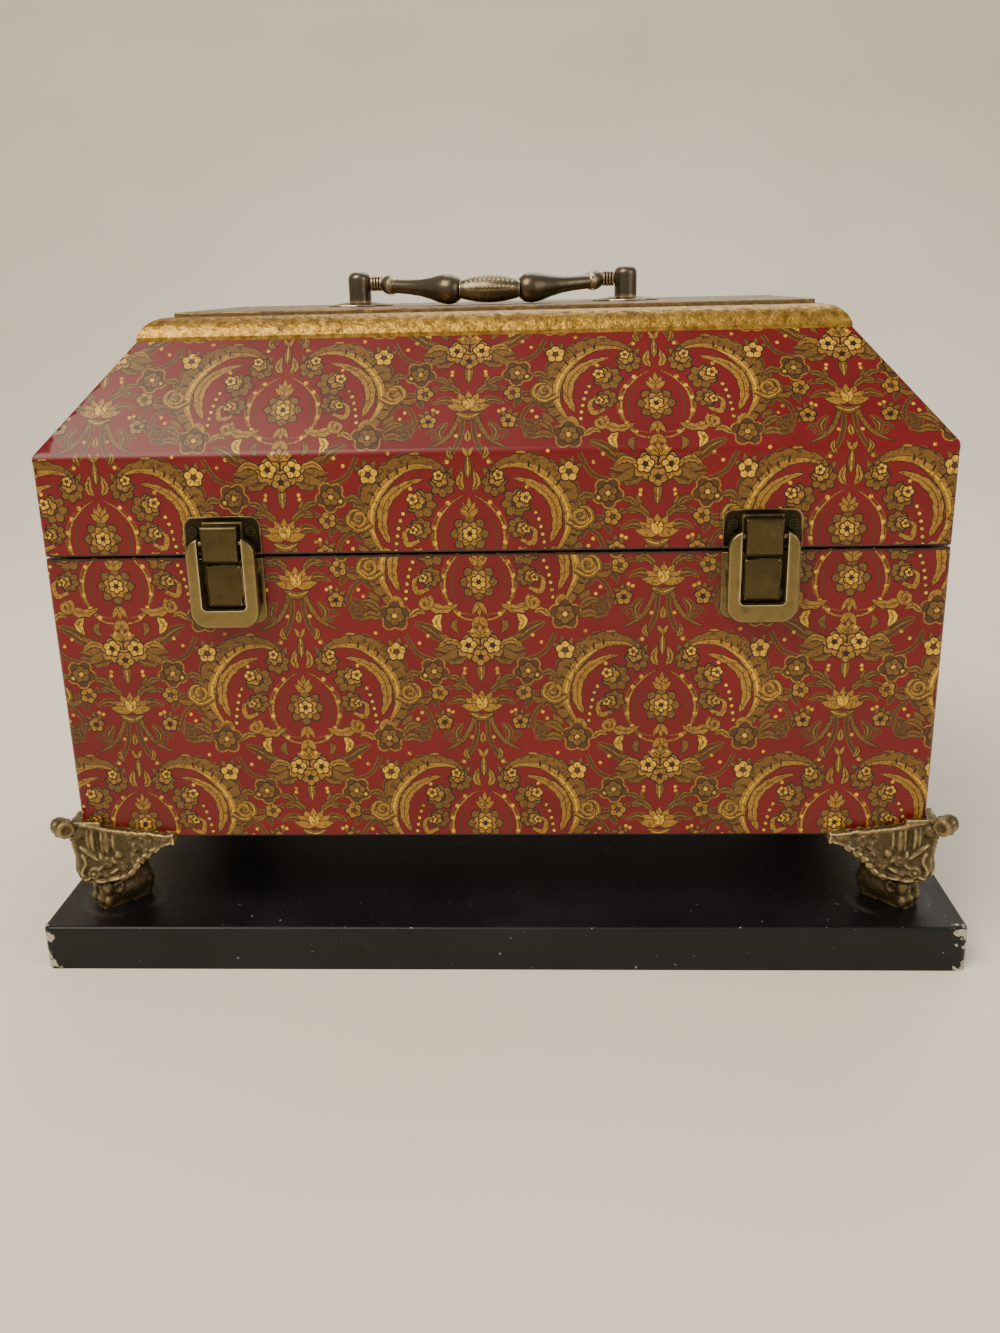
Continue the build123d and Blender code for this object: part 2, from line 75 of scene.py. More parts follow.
def new_material(name, colour, roughness, metallic=0.0, **sockets):
    """A material with its even values set on the shader; returns it and its tree."""
    made = bpy.data.materials.new(name)
    made.use_nodes = True
    shader = made.node_tree.nodes["Principled BSDF"]
    shader.inputs["Base Color"].default_value = linear(colour)
    shader.inputs["Roughness"].default_value = roughness
    shader.inputs["Metallic"].default_value = metallic
    for socket, value in sockets.items():
        shader.inputs[socket.replace("_", " ")].default_value = value
    made.diffuse_color = linear(colour)
    return made, made.node_tree


def add(tree, kind, links, out=0, stops=(), to=None, **settings):
    """Adds a node; links gives its inputs values or sockets, stops are a ramp's places and colours,
    and to names the shader's input that it feeds."""
    made = tree.nodes.new(kind)
    for key, value in settings.items():
        setattr(made, key, value)
    for key, value in links.items():
        if isinstance(value, bpy.types.NodeSocket):
            tree.links.new(value, made.inputs[key])
        else:
            made.inputs[key].default_value = linear(value) if isinstance(value, str) else value
    for number, (place, colour) in enumerate(stops):
        band = made.color_ramp.elements
        stop = band[number] if number < len(band) else band.new(place)
        stop.position, stop.color = place, linear(colour)
    if to:
        tree.links.new(made.outputs[out], tree.nodes["Principled BSDF"].inputs[to])
    return made.outputs[out]


def altered(piece, kind, **settings):
    """Adds a modifier to the active piece and applies it."""
    change = piece.modifiers.new(kind.lower(), kind)
    for key, value in settings.items():
        setattr(change, key, value)
    bpy.ops.object.modifier_apply(modifier=change.name)


seamless_paper, tree = new_material("seamless_paper", "#F5EDE0", 0.9)
spot = add(tree, "ShaderNodeTexCoord", {}, out="Object")
cloud = add(tree, "ShaderNodeTexNoise", {"Vector": spot, "Scale": 1000 / 300})
add(tree, "ShaderNodeValToRGB", {"Fac": cloud}, stops=[(0.3, "#F2E9DA"), (0.7, "#F8F0E2")], to="Base Color")
floor_reach, floor_rise, floor_back, floor_sweep = 12.0, 4.0, 2.2, 1.2
bpy.ops.mesh.primitive_plane_add(size=floor_reach, location=(0, floor_back - floor_reach / 2, 0))
floor = bpy.context.object
floor.name = "floor_sweep"
bpy.ops.object.mode_set(mode="EDIT")
bpy.ops.mesh.select_mode(type="EDGE")
bpy.ops.mesh.select_all(action="DESELECT")
bpy.ops.object.mode_set(mode="OBJECT")
for edge in floor.data.edges:
    edge.select = min(floor.data.vertices[i].co.y for i in edge.vertices) > 0
bpy.ops.object.mode_set(mode="EDIT")
bpy.ops.mesh.extrude_region_move(TRANSFORM_OT_translate={"value": (0, 0, floor_rise)})
bpy.ops.object.mode_set(mode="OBJECT")
bpy.ops.object.transform_apply(location=True)
altered(floor, "BEVEL", width=floor_sweep, segments=12)
bpy.ops.object.shade_smooth()
floor.data.materials.append(seamless_paper)

# Light: a large soft lamp high at the left in front, weaker ones at the right and behind, and a pale
# sky that fills the shadows.
lamps = [
    ("key_lamp", (-0.8, -1.0, 1.6), (0.0, 0.0, 0.15), 1.2, 38.0, "#FFF0DC"),
    ("fill_lamp", (1.6, -1.2, 0.9), (0.0, 0.0, 0.15), 1.2, 10.0, "#FFF6EC"),
    ("back_lamp", (0.2, 1.1, 1.5), (0.0, 0.0, 0.2), 1.2, 12.0, "#F4F6FF"),
]
for name, place, aim, size, power, colour in lamps:
    bpy.ops.object.light_add(type="AREA", location=place)
    lamp = bpy.context.object
    lamp.name = name
    lamp.data.size = size
    lamp.data.energy = power
    lamp.data.color = linear(colour)[:3]
    lamp.rotation_euler = (Vector(aim) - Vector(place)).to_track_quat("-Z", "Y").to_euler()
sky = bpy.data.worlds.new("studio_sky")
sky.use_nodes = True
sky.node_tree.nodes["Background"].inputs["Color"].default_value = linear("#ECE4D6")
sky.node_tree.nodes["Background"].inputs["Strength"].default_value = 0.59
bpy.context.scene.world = sky

# Board: a 20 mm board under the feet, sprayed satin black. Its corners are knocked, so pale wood and
# primer show there. Dust and pale rings of glue lie round the toes on its top.
board_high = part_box("base_board")[1]
chip_reach, glue_reach, toe_inset = 10 * mm, 17 * mm, 26.9 * mm
toe = (board_high[0] - toe_inset, board_high[1] - toe_inset, board_high[2])
black_paint, tree = new_material("satin_black_paint", "#111113", 0.46, Specular_IOR_Level=0.3)
spot = add(tree, "ShaderNodeTexCoord", {}, out="Object")
cloud = add(tree, "ShaderNodeTexNoise", {"Vector": spot, "Scale": 1000 / 40, "Detail": 4.0})
dust = add(tree, "ShaderNodeValToRGB", {"Fac": cloud},
           stops=[(0.35, "#0B0B0E"), (0.62, "#131316"), (0.85, "#202023")])
axes = tree.nodes.new("ShaderNodeSeparateXYZ")
tree.links.new(spot, axes.inputs[0])
ends = []
for axis in (0, 1):
    off = add(tree, "ShaderNodeMath", {0: axes.outputs[axis]}, operation="ABSOLUTE")
    ends.append(add(tree, "ShaderNodeMapRange", {"Value": off, "From Min": board_high[axis] - chip_reach,
                                                 "From Max": board_high[axis]}))
corner = add(tree, "ShaderNodeMath", {0: ends[0], 1: ends[1]}, operation="MULTIPLY")
grit = add(tree, "ShaderNodeTexNoise", {"Vector": spot, "Scale": 1000 / 3, "Detail": 5.0})
worn = add(tree, "ShaderNodeMath", {0: corner, 1: 0.34, 2: grit}, operation="MULTIPLY_ADD")
chips = add(tree, "ShaderNodeMapRange", {"Value": worn, "From Min": 0.74, "From Max": 0.78})
painted = add(tree, "ShaderNodeMix", {0: chips, 6: dust, 7: "#A9A296"}, out=2, data_type="RGBA")
fleck = add(tree, "ShaderNodeTexNoise", {"Vector": spot, "Scale": 1000 / 1.6, "Detail": 1.0})
flecks = add(tree, "ShaderNodeMapRange", {"Value": fleck, "From Min": 0.77, "From Max": 0.80})
speckled = add(tree, "ShaderNodeMix", {0: flecks, 6: painted, 7: "#85827E"}, out=2, data_type="RGBA")
across = add(tree, "ShaderNodeVectorMath", {0: spot}, operation="ABSOLUTE")
to_toe = add(tree, "ShaderNodeVectorMath", {0: across, 1: toe}, out=1, operation="DISTANCE")
inner, outer = [add(tree, "ShaderNodeMapRange", {"Value": to_toe, "From Min": glue_reach + fade * mm,
                                                 "From Max": glue_reach}) for fade in (-3.0, 2.5)]
halo = add(tree, "ShaderNodeMath", {0: inner, 1: outer}, operation="MULTIPLY")
patchy = add(tree, "ShaderNodeMapRange", {"Value": cloud, "From Min": 0.42, "From Max": 0.62, "To Max": 0.16})
glued = add(tree, "ShaderNodeMath", {0: halo, 1: patchy}, operation="MULTIPLY")
add(tree, "ShaderNodeMix", {0: glued, 6: speckled, 7: "#B5AFA4"}, out=2, data_type="RGBA", to="Base Color")
add(tree, "ShaderNodeMapRange", {"Value": cloud, "From Min": 0.3, "From Max": 0.8,
                                 "To Min": 0.34, "To Max": 0.55}, to="Roughness")
add(tree, "ShaderNodeBump", {"Height": grit, "Distance": 0.05 * mm}, to="Normal")


def dress(material, *names):
    """Gives CAD pieces a material."""
    for name in names:
        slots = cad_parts[name].data.materials
        slots.clear()
        slots.append(material)


dress(black_paint, "base_board")

# Boards of the case and lid: fibreboard glued at the corners, stained dark brown inside. The paper
# hides their outside. Their sizes are in mm.
def span(name):
    """A CAD piece's lowest and highest corners, in mm."""
    return [[round(v / mm, 3) for v in corner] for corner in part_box(name)]


half_long, half_deep = -span("case_left")[0][0], -span("case_front")[0][1]
case_floor, case_top = span("case_front")[0][2], span("case_front")[1][2]
case_wall = span("case_front")[1][1] + half_deep
lid_floor, lid_knee = span("lid_rim_front")[0][2], span("lid_rim_front")[1][2]
slope_run, slope_top = span("moulding_front")[0][1] + half_deep, span("moulding_front")[0][2]
lid_wall = 6.4
dark_stain, tree = new_material("dark_stained_fibreboard", "#2A1710", 0.55)
spot = add(tree, "ShaderNodeTexCoord", {}, out="Object")
drawn = add(tree, "ShaderNodeMapping", {"Vector": spot, "Scale": (60, 900, 900)})
fibres = add(tree, "ShaderNodeTexNoise", {"Vector": drawn, "Scale": 1.0, "Detail": 4.0})
add(tree, "ShaderNodeValToRGB", {"Fac": fibres},
    stops=[(0.3, "#1E0F0A"), (0.55, "#2E1A11"), (0.8, "#3D2417")], to="Base Color")
add(tree, "ShaderNodeBump", {"Height": fibres, "Distance": 0.06 * mm}, to="Normal")
sides = ("front", "back", "left", "right")
dress(dark_stain, "case_bottom", "lid_panel")
for side in sides:
    dress(dark_stain, "case_" + side, "case_lip_" + side, "lid_rim_" + side, "lid_slope_" + side)

# Feet: four castings of polyurethane resin, glued under the case's corners: foliage, gadroons and
# scrolls over a lobed toe, gilt with a dark wash left in the hollows. Modelled once, then mirrored.
def patina(name, dark, flat, worn, edge_rub_and_highlight, roughness, metallic, hollow_mm, wear_mm, grain_mm, bump_mm):
    """A rubbed metal finish: dark in hollows, worn near edges, and pale on them as wear and painted
    highlight.
    """
    made, tree = new_material(name, worn, roughness, metallic)
    spot = add(tree, "ShaderNodeTexCoord", {}, out="Object")
    grain = add(tree, "ShaderNodeTexNoise", {"Vector": spot, "Scale": 1000 / grain_mm, "Detail": 5.0,
                                             "Roughness": 0.6})
    mottle = add(tree, "ShaderNodeMath", {0: grain, 1: 0.9, 2: -0.5}, operation="MULTIPLY_ADD")
    hollow = add(tree, "ShaderNodeAmbientOcclusion", {"Distance": hollow_mm * mm}, out="AO", samples=8,
                 only_local=True)
    near, edge = [add(tree, "ShaderNodeAmbientOcclusion", {"Distance": reach * mm}, out="AO", samples=8,
                      only_local=True, inside=True) for reach in (wear_mm, wear_mm * 0.35)]
    wear = add(tree, "ShaderNodeMapRange", {"Value": near, "From Min": 0.98, "From Max": 0.72})
    worn_away = add(tree, "ShaderNodeMath", {0: wear, 1: mottle}, use_clamp=True)
    field = add(tree, "ShaderNodeMix", {0: worn_away, 6: flat, 7: worn}, out=2, data_type="RGBA")
    level = add(tree, "ShaderNodeMath", {0: hollow, 1: mottle})
    open_air = add(tree, "ShaderNodeMapRange", {"Value": level, "From Min": 0.42, "From Max": 0.9})
    washed = add(tree, "ShaderNodeMix", {0: open_air, 6: dark, 7: field}, out=2, data_type="RGBA")
    # Pale sharp edges: partly rubbed metal, partly a painted highlight of the light that they catch.
    sharp = add(tree, "ShaderNodeMapRange", {"Value": edge, "From Min": 0.95, "From Max": 0.6, "To Max": 1.7})
    edge_rub_and_highlight_mask = add(tree, "ShaderNodeMath", {0: sharp, 1: grain}, operation="MULTIPLY", use_clamp=True)
    add(tree, "ShaderNodeMix", {0: edge_rub_and_highlight_mask, 6: washed, 7: edge_rub_and_highlight}, out=2, data_type="RGBA", to="Base Color")
    add(tree, "ShaderNodeMapRange", {"Value": level, "From Min": 0.4, "To Max": roughness,
                                     "To Min": min(roughness + 0.3, 1.0)}, to="Roughness")
    add(tree, "ShaderNodeBump", {"Height": grain, "Distance": bump_mm * mm}, to="Normal")
    return made


def pick(*pieces):
    """Selects only these pieces, the first of them as the active one."""
    bpy.ops.object.select_all(action="DESELECT")
    for piece in pieces:
        piece.select_set(True)
    bpy.context.view_layer.objects.active = pieces[0]


def new_piece(name, mesh):
    """Puts a mesh into the scene as a piece of its own."""
    piece = bpy.data.objects.new(name, mesh)
    bpy.context.collection.objects.link(piece)
    pick(piece)
    return piece


def joined(parts, name):
    """Joins parts into one named piece."""
    pick(*parts)
    bpy.ops.object.join()
    piece = bpy.context.object
    piece.name = piece.data.name = name
    bpy.ops.object.transform_apply(location=True, rotation=True, scale=True)
    return piece


def merged_copy(node_name, name):
    """A copy of a CAD piece, its loose triangles merged into whole faces."""
    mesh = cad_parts[node_name].data.copy()
    mesh.name = name
    mesh.materials.clear()
    piece = new_piece(name, mesh)
    bpy.ops.object.mode_set(mode="EDIT")
    bpy.ops.mesh.select_all(action="SELECT")
    bpy.ops.mesh.remove_doubles(threshold=0.00001)
    bpy.ops.mesh.dissolve_limited(angle_limit=math.radians(0.5))
    bpy.ops.object.mode_set(mode="OBJECT")
    return piece


antique_gilding = patina("antique_gilt_resin", "#120E08", "#4A3E28", "#84714A", "#E6D29A",
                         0.36, 0.68, 6.0, 2.4, 2.4, 0.25)
foot_corner = Vector((-half_long, -half_deep, case_floor)) * mm
foot_height = case_floor - span("base_board")[1][2]
foot_parts = [merged_copy("foot_front_left", "foot_core")]
foot_parts[0].data.transform(Matrix.Translation(-foot_corner))


def bead(place, radii, spin):
    """An oval bead of the casting, its place in mm from the case's corner."""
    bpy.ops.mesh.primitive_uv_sphere_add(segments=20, ring_count=12, radius=mm, location=Vector(place) * mm,
                                         scale=radii, rotation=spin)
    foot_parts.append(bpy.context.object)


def ring(place, reach, thick, spin):
    """A ring of the casting."""
    bpy.ops.mesh.primitive_torus_add(major_radius=reach * mm, minor_radius=thick * mm, major_segments=24,
                                     minor_segments=10, location=Vector(place) * mm, rotation=spin)
    foot_parts.append(bpy.context.object)


def boss(x, y, z, rx, ry, rz, lean=0.0, pair=True):
    """A rounded boss, leaning by some degrees, and its twin on the other wing."""
    lean = math.radians(lean)
    bead((x, y, z), (rx, ry, rz), (0, lean, 0))
    if pair:
        bead((y, x, z), (ry, rx, rz), (-lean, 0, 0))


def curl(x, y, z, reach, thick):
    """A small scroll: a ring with an eye, lying on the wing, and its twin."""
    ring((x, y, z), reach, thick, (math.pi / 2, 0, 0))
    ring((y, x, z), reach, thick, (0, math.pi / 2, 0))
    boss(x, y - 0.3, z, thick * 1.25, thick * 1.3, thick * 1.25)


def line_through(knots, step):
    """Points about a step apart on a smooth line through the knots."""
    knots = [Vector(k) for k in knots]
    knots = [2 * knots[0] - knots[1]] + knots + [2 * knots[-1] - knots[-2]]
    points = []
    for a, b, c, d in zip(knots, knots[1:], knots[2:], knots[3:]):
        count = max(2, round((c - b).length / step))
        for i in range(count):
            t = i / count
            points.append(0.5 * (2 * b + (c - a) * t + (2 * a - 5 * b + 4 * c - d) * t ** 2
                                 + (3 * b - a - 3 * c + d) * t ** 3))
    return points + [knots[-2]]


def on_diagonal(inward, across, z):
    """A place along and across the corner's diagonal."""
    return Vector((inward + across, inward - across, z * math.sqrt(2))) / math.sqrt(2)


def toe_boss(inward, across, z, long, wide, high, pair=True):
    """A boss of the toe, and its twin."""
    for side in ((-1, 1) if pair else (1,)):
        bead(on_diagonal(inward, side * across, z), (long, wide, high), (0, 0, math.pi / 4))


# gadroons and ridges under the lip, and a bead along it
wing_face = -4.0
for x, level, width, height, proud_of in (
        (-0.4, 3.0, 2.5, 2.9, 2.3), (3.3, 0.4, 0.8, 4.9, 1.4), (5.4, -0.4, 1.1, 5.4, 1.8),
        (9.2, -0.9, 0.8, 5.4, 1.5), (11.4, -1.6, 1.5, 5.4, 1.9), (14.2, -1.2, 0.6, 4.6, 1.2),
        (15.8, -7.0, 1.9, 1.9, 1.7)):
    boss(x, wing_face, level, width, proud_of, height)
lip_line = line_through([(-4.2, 7.4), (3.0, 6.4), (9.0, 5.1), (16.0, 3.9), (26.0, 2.9), (38.6, 1.6)], 2.2)
for place in lip_line:
    boss(place.x, wing_face + 0.2, place.y, 1.8, 1.0, 0.6)
# leaves along the wing's lower edge
for x, level, lean in ((31.4, -5.0, 24), (28.2, -7.2, 26), (25.4, -9.6, 40), (23.2, -12.6, 52),
                       (20.8, -15.6, 46), (17.2, -17.8, 28)):
    boss(x, wing_face + 0.4, level, 2.7, 1.8, 1.4, -lean)
    boss(x - 0.8, wing_face - 1.0, level + 0.7, 1.5, 0.9, 0.5, -lean)
# curls, an S-shaped rib and small leaves between them
curl(10.4, wing_face - 0.3, -10.8, 1.9, 0.7)
curl(4.2, wing_face - 0.3, -15.8, 2.2, 0.75)
curl(17.2, wing_face - 0.2, -12.4, 1.5, 0.6)
curl(9.2, wing_face - 0.2, -16.6, 1.2, 0.55)
for step in range(10):
    share = step / 9
    boss(0.3 + 1.1 * math.sin(share * 5.4), wing_face - 0.5, -7.6 - 9.2 * share, 0.75, 0.9, 0.9)
for step in range(4):
    boss(1.6 + 1.1 * step, wing_face - 0.2, -4.6 - 1.2 * step, 3.4, 1.1, 0.5, 30)
for x, level, lean, reach in (
        (7.2, -13.2, -40, 2.6), (13.2, -14.6, -30, 2.4), (12.6, -18.6, -12, 2.8), (6.4, -19.6, 8, 2.6),
        (13.6, -9.6, 62, 2.0), (8.0, -7.6, 80, 1.6), (1.4, -18.4, -30, 2.2)):
    boss(x, wing_face - 0.3, level, reach, 1.1, 0.75, lean)
for step in range(8):
    boss(-3.6 + 0.25 * step, -3.6 + 0.25 * step, 1.6 - 1.9 * step, 1.6, 1.6, 0.95, pair=False)
# the toe: lobes at its end, a ring on each flank and a smooth mass behind
toe_boss(4.2, 0, -24.4, 2.4, 2.6, 3.4, pair=False)
toe_boss(5.4, 5.8, -24.8, 2.4, 2.0, 3.4)
toe_boss(3.2, 2.4, -30.8, 1.9, 2.0, 2.6)
toe_boss(5.0, 5.6, -31.4, 2.0, 1.6, 2.6)
toe_boss(3.4, 3.0, -27.4, 1.0, 1.0, 4.0)
toe_boss(16.0, 4.6, -28.6, 10.0, 2.8, 4.6)
toe_boss(13.0, 3.6, -22.6, 8.0, 3.0, 3.0)
for side, spin in ((1, math.pi / 4), (-1, -math.pi * 3 / 4)):
    ring(on_diagonal(9.6, side * 6.5, -25.6), 2.0, 0.8, (math.pi / 2, 0, spin))
# the volute at the corner, coiled at both ends and ribbed between
volute_middle, volute_reach = Vector((-6.1, -6.1, 6.6)), 3.5
along = Vector((1, -1, 0)).normalized()
for end in (-1, 1):
    for reach, thick in ((2.9, 0.95), (1.1, 0.7)):
        ring(volute_middle + along * end * volute_reach, reach, thick, (math.pi / 2, 0, math.pi / 4))
for angle in range(0, 360, 45):
    back = -math.cos(math.radians(angle)) * 0.7071
    place = volute_middle + Vector((back, back, math.sin(math.radians(angle)))) * volute_reach
    boss(place.x, place.y, place.z, 1.3, 1.3, 1.0, pair=False)
foot = joined(foot_parts, "foot_casting")
altered(foot, "REMESH", mode="VOXEL", voxel_size=0.5 * mm)
altered(foot, "SMOOTH", factor=0.5, iterations=2)
# the cast skin: small lumps all over, a hammered wing end, and flats against the case and the board
clear, sole = -0.25 * mm, -foot_height * mm
hammered_from, hammered_blend, wing_low = 17.5, 4.0, -13
outward = [vertex.normal.copy() for vertex in foot.data.vertices]
for vertex, normal in zip(foot.data.vertices, outward):
    place = vertex.co / mm
    wing = 0.0
    if place.z > wing_low:
        wing = min(max((max(place.x, place.y) - hammered_from) / hammered_blend, 0.0), 1.0)
    cast = noise.noise(place / 1.4) * 0.16 + noise.noise(place / 4.0) * 0.22
    hammer = (noise.noise(place / 2.4) + 0.5 * noise.noise(place / 1.1)) * 0.85 * wing
    place = vertex.co + normal * (cast + hammer) * mm
    if min(place) > clear:
        axis = min(range(3), key=lambda k: place[k])
        place[axis] = clear
    place.z = max(place.z, sole + 0.02 * mm)
    vertex.co = place
altered(foot, "DECIMATE", ratio=0.55)
bpy.ops.object.shade_smooth()
foot.data.materials.clear()
foot.data.materials.append(antique_gilding)
casting = foot.data
bpy.data.objects.remove(foot)
for end, depth_sign in (("front", -1), ("back", 1)):
    for hand, width_sign in (("left", -1), ("right", 1)):
        name = "foot_" + end + "_" + hand
        mesh = casting.copy()
        flip = Matrix.Diagonal((-width_sign, -depth_sign, 1, 1))
        mesh.transform(flip @ Matrix.Translation(foot_corner))
        if width_sign * depth_sign < 0:
            mesh.flip_normals()
        mesh.name = "casting_" + name
        piece = new_piece("casting_" + name, mesh)
        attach(piece, "case")
        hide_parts(name)
bpy.data.meshes.remove(casting)

# Paper: a printed sheet glued over the boards, a traditional damask of red, brown and golds under a
# satin varnish. It is drawn here shape by shape as one repeat, in mm from the middle of a medallion.
repeat_across, repeat_up = 145.4, 104.4
ink_places = {"red": 0.5, "line": 1.5, "brown": 2.5, "olive": 3.5, "gold": 4.5, "pale": 5.5}
printed = []


def lay(points, ink, twin=True):
    """Prints a shape, and its mirror image across the medallion's axis."""
    printed.append(([(x, y) for x, y in points], ink_places[ink]))
    if twin:
        printed.append(([(-x, y) for x, y in points], ink_places[ink]))


def heading(angle):
    """The direction at an angle on the sheet."""
    return Vector((math.cos(angle), math.sin(angle)))


def leaf(knots, width, ink, rim=0.7, lobes=0, stem=0.0, vein=None, twin=True, step=1.6):
    """A leaf or stem along a line: a dark rim, its body, and a thin vein."""
    line = line_through(knots, step)
    last = len(line) - 1
    edge = "olive" if ink == "brown" else "line"
    passes = [(rim, edge, 1.0), (0.0, ink, 1.0)] if rim else [(0.0, ink, 1.0)]
    for grow, colour, share in passes + ([(0.45, vein, 0.0)] if vein else []):
        left, right = [], []
        for i, point in enumerate(line):
            t = i / last
            tangent = (line[min(i + 1, last)] - line[max(i - 1, 0)]).normalized()
            across = Vector((-tangent.y, tangent.x))
            full = math.sin(math.pi * t ** 0.8) ** 0.7 if 0 < t < 1 else 0.0
            full = max(full, stem * (1 - t))
            if lobes:
                full *= 0.70 + 0.30 * abs(math.sin(math.pi * lobes * t))
            half = share * full * width / 2 + grow / 2 * (1 if share else full)
            left.append(point + across * half)
            right.append(point - across * half)
        lay(left + right[::-1], colour, twin)


def disc(x, y, radius, ink, sides=8, twin=True):
    """A round dot."""
    lay([(x + radius * math.cos(math.tau * i / sides), y + radius * math.sin(math.tau * i / sides))
         for i in range(sides)], ink, twin)


def flower(x, y, radius, petals, ink, heart="brown", tilt=90.0, twin=True):
    """A flower seen from above: a dark rim, lobed petals with dark folds, and a ringed heart."""
    tilt = math.radians(tilt)
    count = petals * 6
    for grow, colour in ((0.6, "gold" if ink == "brown" else "line"), (0.0, ink)):
        outline = []
        for i in range(count):
            reach = radius * (0.72 + 0.28 * abs(math.cos(petals * math.pi * i / count))) + grow
            angle = math.tau * i / count + tilt
            outline.append((x + reach * math.cos(angle), y + reach * math.sin(angle)))
        lay(outline, colour, twin)
    for i in range(petals):
        way = heading(math.tau * (i + 0.5) / petals + tilt)
        across = Vector((-way.y, way.x)) * 0.28
        middle = Vector((x, y))
        lay([middle + way * radius * 0.3 + across, middle + way * radius * 0.3 - across,
             middle + way * radius * 0.78], "line", twin)
    disc(x, y, radius * 0.36, "line", twin=twin)
    disc(x, y, radius * 0.27, heart, twin=twin)


def scroll(x, y, radius, start, turns, width, ink, twin=True):
    """A stem that coils inwards; a negative number of turns coils clockwise."""
    count = max(8, round(abs(turns) * 12))
    knots = []
    for i in range(count + 1):
        angle = math.radians(start) + math.tau * turns * i / count
        reach = radius * (1 - 0.8 * i / count)
        knots.append((x + reach * math.cos(angle), y + reach * math.sin(angle)))
    leaf(knots, width, ink, stem=1.0, twin=twin, step=3.0, rim=0.5)


def spray(x, y, ways, length, width, ink, rim=0.6, twin=True):
    """Pointed leaves that spread from one point, each way in degrees."""
    for way in ways:
        step = heading(math.radians(way))
        start = Vector((x, y))
        leaf([start, start + step * length / 2, start + step * length], width, ink, rim=rim, twin=twin,
             step=length / 4)


# stems and leaves behind the flowers
leaf([(3, -56), (5, -62), (9, -68), (16, -72)], 1.8, "olive", stem=1.0)
leaf([(2, -57), (2.5, -65), (5.5, -73), (10, -78)], 1.4, "brown", stem=1.0)
leaf([(-30, -22), (-25, -30), (-15, -33), (-6, -31)], 1.2, "brown", stem=1.0)
leaf([(-44, 2), (-50, -2), (-52, -9), (-47, -14)], 1.1, "brown", stem=1.0)
leaf([(-12, -44), (-20, -47), (-28, -45), (-33, -38)], 1.1, "brown", stem=1.0)
spray(-45, -10.5, (150, 185, 215), 7.5, 2.6, "brown")
spray(-6, -44, (110, 150, 190), 6.0, 2.0, "olive")
spray(-27, -44, (200, 235, 265), 6.5, 2.2, "brown")
spray(-34, -33, (225, 260, 300), 6.0, 2.0, "brown")
spray(-52, 5, (120, 160, 205, 245), 7.0, 2.3, "brown")
leaf([(-26, -17), (-20, -20), (-15, -24), (-9, -26)], 4.2, "brown", lobes=5, vein="gold")
leaf([(-4, -30), (-10, -33), (-14, -31.5), (-19, -30)], 4.2, "olive", lobes=5, vein="line")
leaf([(0, -33), (0, -37), (0, -42)], 3.4, "olive", twin=False, vein="pale")
leaf([(-3, -47), (-7, -43.5), (-12, -44)], 3.4, "olive", lobes=3, vein="line")
leaf([(-3, -52), (-9, -49.5), (-14, -51.5)], 3.2, "brown", lobes=3, vein="gold")

# acanthus arches round the medallions, with leaf tips behind their outer edge
for number, (x, y) in enumerate([(-37.6, -6.5), (-39.5, -1.5), (-40.6, 3.6), (-40.4, 8.8), (-38.4, 13.6),
                                 (-35.4, 18.0), (-31.6, 21.6), (-27.2, 24.4), (-22.4, 25.6)]):
    tip = heading(math.radians(158 - number * 13))
    back = Vector((tip.y, -tip.x)) * 2.2
    start = Vector((x, y)) + tip * 1.2 - back * 0.5
    leaf([start - back * 0.6, start + tip * 3.0 - back * 0.2, start + tip * 5.6 + back * 0.5], 3.0,
         ("olive", "brown", "gold")[number % 3], rim=0.5)
leaf([(-35, -9), (-40, 0), (-39.5, 11), (-34, 20.5), (-25.5, 26.8), (-16, 27.4), (-8.0, 24.6)],
     9.0, "olive", lobes=13, stem=0.5, step=1.3)
leaf([(-34.5, -7), (-38.3, 1), (-37.6, 10.5), (-32.2, 19.3), (-24.5, 25.0), (-16, 26.0), (-9.5, 24.0)],
     3.2, "gold", stem=0.4, rim=0.5)
leaf([(-36.5, -3), (-38.4, 3), (-37.4, 10.5), (-32.4, 18.6), (-25, 23.8)], 0.9, "pale", rim=0)
for number, (x, y) in enumerate([(-36.6, -5), (-38.6, -1), (-39.4, 3), (-39.4, 7), (-38.2, 11), (-36.2, 14.6),
                                 (-33.6, 17.8), (-30.4, 20.8), (-27, 23), (-23.4, 24.8)]):
    spray(x, y, (205 - number * 13,), 3.4, 0.9, "line", rim=0.0)
leaf([(-31.5, -4), (-34, 3), (-33, 11), (-28.5, 16.5), (-22, 20), (-17.5, 21)],
     4.4, "gold", lobes=7, vein="brown")
for number, (x, y) in enumerate([(-41.0, 1.5), (-41.4, 6.5), (-39.8, 11.8), (-37.2, 16.4), (-33.8, 20.4),
                                 (-29.4, 24.0), (-24.6, 26.9), (-19.0, 28.6)]):
    spray(x, y, (250 - number * 16, 228 - number * 16), 2.6, 0.7, "brown", rim=0.0)
scroll(-33.4, -9.6, 3.2, 100, -1.3, 1.6, "gold")
for x, y in [(-27, 5), (-27.8, 2), (-28.4, -1), (-28.9, -4), (-29.2, -7), (-25.8, 7.8)]:
    disc(x, y, 1.15, "line")
    disc(x, y, 0.75, "pale")

# scroll and bud between the arches
leaf([(-38, 4), (-43, 1.5), (-47.5, 4.5), (-46, 9), (-42, 9.5)], 2.6, "olive", stem=0.8, vein="pale")
scroll(-43.2, 6.2, 3.4, 200, 1.4, 1.4, "gold")
leaf([(-46, 2.5), (-50, 2), (-54, 5)], 2.8, "olive", lobes=3)
flower(-55.5, 5.5, 3.4, 5, "gold", tilt=180)
flower(-34, -14, 6.2, 5, "brown", heart="gold", tilt=90)
flower(-34, -14, 3.9, 5, "olive", heart="pale", tilt=126)
leaf([(-39.5, -12), (-43.5, -8.5), (-48, -8.5)], 3.4, "olive", vein="line")
leaf([(-39.5, -15), (-44, -13.5), (-48.5, -16)], 3.4, "olive", vein="line")
leaf([(-28.5, -15), (-24.5, -12), (-21.5, -13.5)], 2.6, "gold", vein="line")
